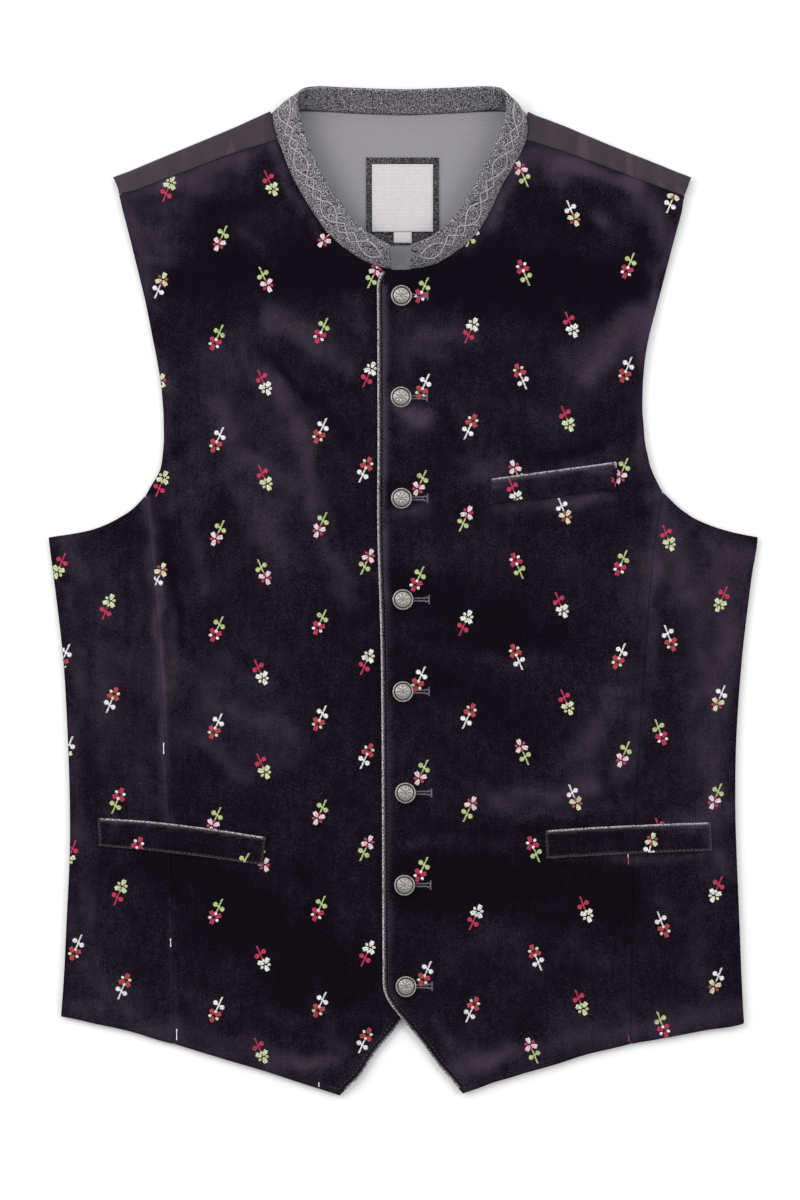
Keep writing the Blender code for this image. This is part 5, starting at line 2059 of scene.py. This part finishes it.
@dataclass
class Studio:
    """The pale floor, soft light and the camera straight above."""

    floor_size: float = 12.0

    def build(self) -> None:
        """Makes the floor, lights and camera."""
        mesh = bpy.data.meshes.new("floor")
        half = self.floor_size / 2
        corners = [(x * half, y * half, -FLOOR_GAP) for x, y in ((-1, -1), (1, -1), (1, 1), (-1, 1))]
        mesh.from_pydata(corners, [], [(0, 1, 2, 3)])
        mesh.materials.append(FLOOR.material())
        floor = put("floor", mesh)
        self.light("soft_left", (-1.5, 0.7, 1.3), 1.4, 26.0)
        self.light("soft_right", (1.6, 0.3, 1.5), 1.4, 16.0)
        self.light("soft_top", (0.0, 1.6, 1.6), 1.2, 10.0)
        world = bpy.data.worlds.new("studio")
        bpy.context.scene.world = world
        world.use_nodes = True
        world.node_tree.nodes["Background"].inputs["Color"].default_value = (1, 1, 1, 1)
        world.node_tree.nodes["Background"].inputs["Strength"].default_value = 0.62
        self.camera()
        bpy.context.scene.view_settings.view_transform = "Standard"

    def light(self, name: str, place: tuple[float, float, float], size: float, power: float) -> None:
        """A soft square light that faces the waistcoat."""
        data = bpy.data.lights.new(name, "AREA")
        data.size = size
        data.energy = power
        lamp = put(name, data)
        lamp.location = place
        lamp.rotation_euler = (-Vector(place)).to_track_quat("-Z", "Y").to_euler()

    def camera(self) -> None:
        """The camera, straight above the middle of the photograph."""
        data = bpy.data.cameras.new("camera")
        data.sensor_width = SENSOR
        tall = PHOTO_SIZE[1] * PHOTO_SCALE
        data.lens = SENSOR * CAMERA_HEIGHT / tall
        data.clip_start, data.clip_end = 0.1, 50.0
        eye = put("camera", data)
        middle = from_photo(PHOTO_SIZE[0] / 2, PHOTO_SIZE[1] / 2)
        eye.location = (middle.x, middle.y, CAMERA_HEIGHT)
        bpy.context.scene.camera = eye


@dataclass
class Waistcoat:
    """The whole garment."""

    workshop: Workshop
    tucked_tag: float = 10.5 * MM  # the size tag's length with the end tucked under the label
    shoulder_roll: float = 20 * MM  # what the back's cut has past its outline, rolled forward
    shells: dict[str, Shell] = field(default_factory=dict)

    def cloths(self) -> dict[str, Shell]:
        """The shells of the pieces that lie flat, by node."""
        shells = {}
        for node in ("front_right", "front_left"):
            looks = {"rise": crease_rise, "edge_sheen": front_edge_sheen, "edge_light": front_edge_light}
            shells[node] = Shell(node, VELVET, sink=0.22 * MM, grow=0.15 * MM, **looks)
        for node in ("side_right", "side_left"):
            shells[node] = Shell(node, VELVET, rise=crease_rise, grow=0.1 * MM, edge_light=front_edge_light)
        for node in ("welt_chest", "welt_left", "welt_right"):
            sizes = {"spacing": 1.8 * MM, "edge_roll": 1.2 * MM, "smoothing": 6}
            shells[node] = Shell(node, VELVET, edge_sheen=welt_edge_sheen(node), **sizes)
        shells["back_lining"] = Shell("back_lining", LINING, spacing=4 * MM)
        shells["label_patch"] = Shell("label_patch", PATCH_FELT, spacing=2.5 * MM, edge_roll=0.6 * MM)
        shells["label"] = Shell("label", LABEL_TAPE, spacing=2.5 * MM, edge_roll=0.5 * MM)
        shells["size_tag"] = Shell("size_tag", LABEL_TAPE, spacing=1.5 * MM, edge_roll=0.5 * MM)
        return shells

    def declare(self, pieces: dict[str, Object]) -> None:
        """Works out the flat size and the area of each cloth piece, but does nothing with them."""
        for node, piece in pieces.items():
            low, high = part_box(node)
            flat = (high.x - low.x, max(high.y - low.y, self.tucked_tag))
            area = self.shells[node].outline.area()

    def build(self) -> None:
        """Builds and dresses every piece."""
        back = Back().dress()
        log.info("piece %s", back.name)
        self.shells = self.cloths()
        pieces = {}
        for node, shell in self.shells.items():
            pieces[node] = shell.dress()
            log.info("piece %s", pieces[node].name)
        self.declare(pieces)
        collar = Collar(self.workshop)
        band = collar.dress()
        log.info("piece %s", band[0].name)
        holes = Buttonholes(self.workshop, self.shells["front_left"])
        embroidery = Embroidery(self.workshop, self.shells, collar.neck())
        for part in (Buttons(self.workshop), holes, embroidery):
            for piece in part.dress():
                log.info("piece %s, %d faces", piece.name, len(piece.data.polygons))
        self.sew()

    @staticmethod
    def sewn_front(point: Vector) -> bool:
        """Whether the wearer's left front is topstitched at a point: down its edge and its cutaway."""
        x, y = to_photo(point)
        below_collar, at_edge, at_cutaway = y > 280, x < 394, y > 970 and x < 468
        return below_collar and (at_edge or at_cutaway)

    @staticmethod
    def sewn_cutaway(point: Vector) -> bool:
        """Whether the wearer's right front is topstitched at a point: on its cutaway."""
        return -50 * MM < point.x < 0 and point.y < -297 * MM

    @staticmethod
    def sewn_chest(point: Vector) -> bool:
        """Whether the chest pocket's welt is sewn at a point: along its top alone."""
        x, y = to_photo(point)
        left, right = CHEST_WELT
        first, last = WELT_LINES["welt_chest"]
        return left + 6 < x < right - 7 and y < first + (last - first) * (x - left) / (right - left)

    def sew(self) -> None:
        """Adds the topstitching."""
        sewing = Topstitching(self.workshop)
        left = self.shells["front_left"]
        right = self.shells["front_right"]
        edge = sewing.line(left, left.stitch_inset, self.sewn_front)
        edge += sewing.line(right, right.stitch_inset, self.sewn_cutaway)
        sewing.dress("front_topstitching", edge, SEWING_DARK)
        welts = sewing.line(self.shells["welt_chest"], 2.6 * MM, self.sewn_chest)
        for node in ("welt_left", "welt_right"):
            welts += sewing.line(self.shells[node], 1.4 * MM, lambda p: True)
        sewing.dress("welt_stitching", welts, SEWING_DARK)
        labels = Topstitching(self.workshop, pitch=2.0 * MM, length=1.5 * MM, radius=0.16 * MM)
        label = labels.line(self.shells["label"], 1.3 * MM, lambda p: True)
        labels.dress("label_stitching", label, SEWING_WHITE)


def main() -> None:
    """Builds the studio and the waistcoat."""
    logging.basicConfig(level=logging.INFO, format="%(name)s: %(message)s")
    noise.seed_set(NOISE_SEED)
    Studio().build()
    Waistcoat(Workshop()).build()


if __name__ == "__main__":
    main()
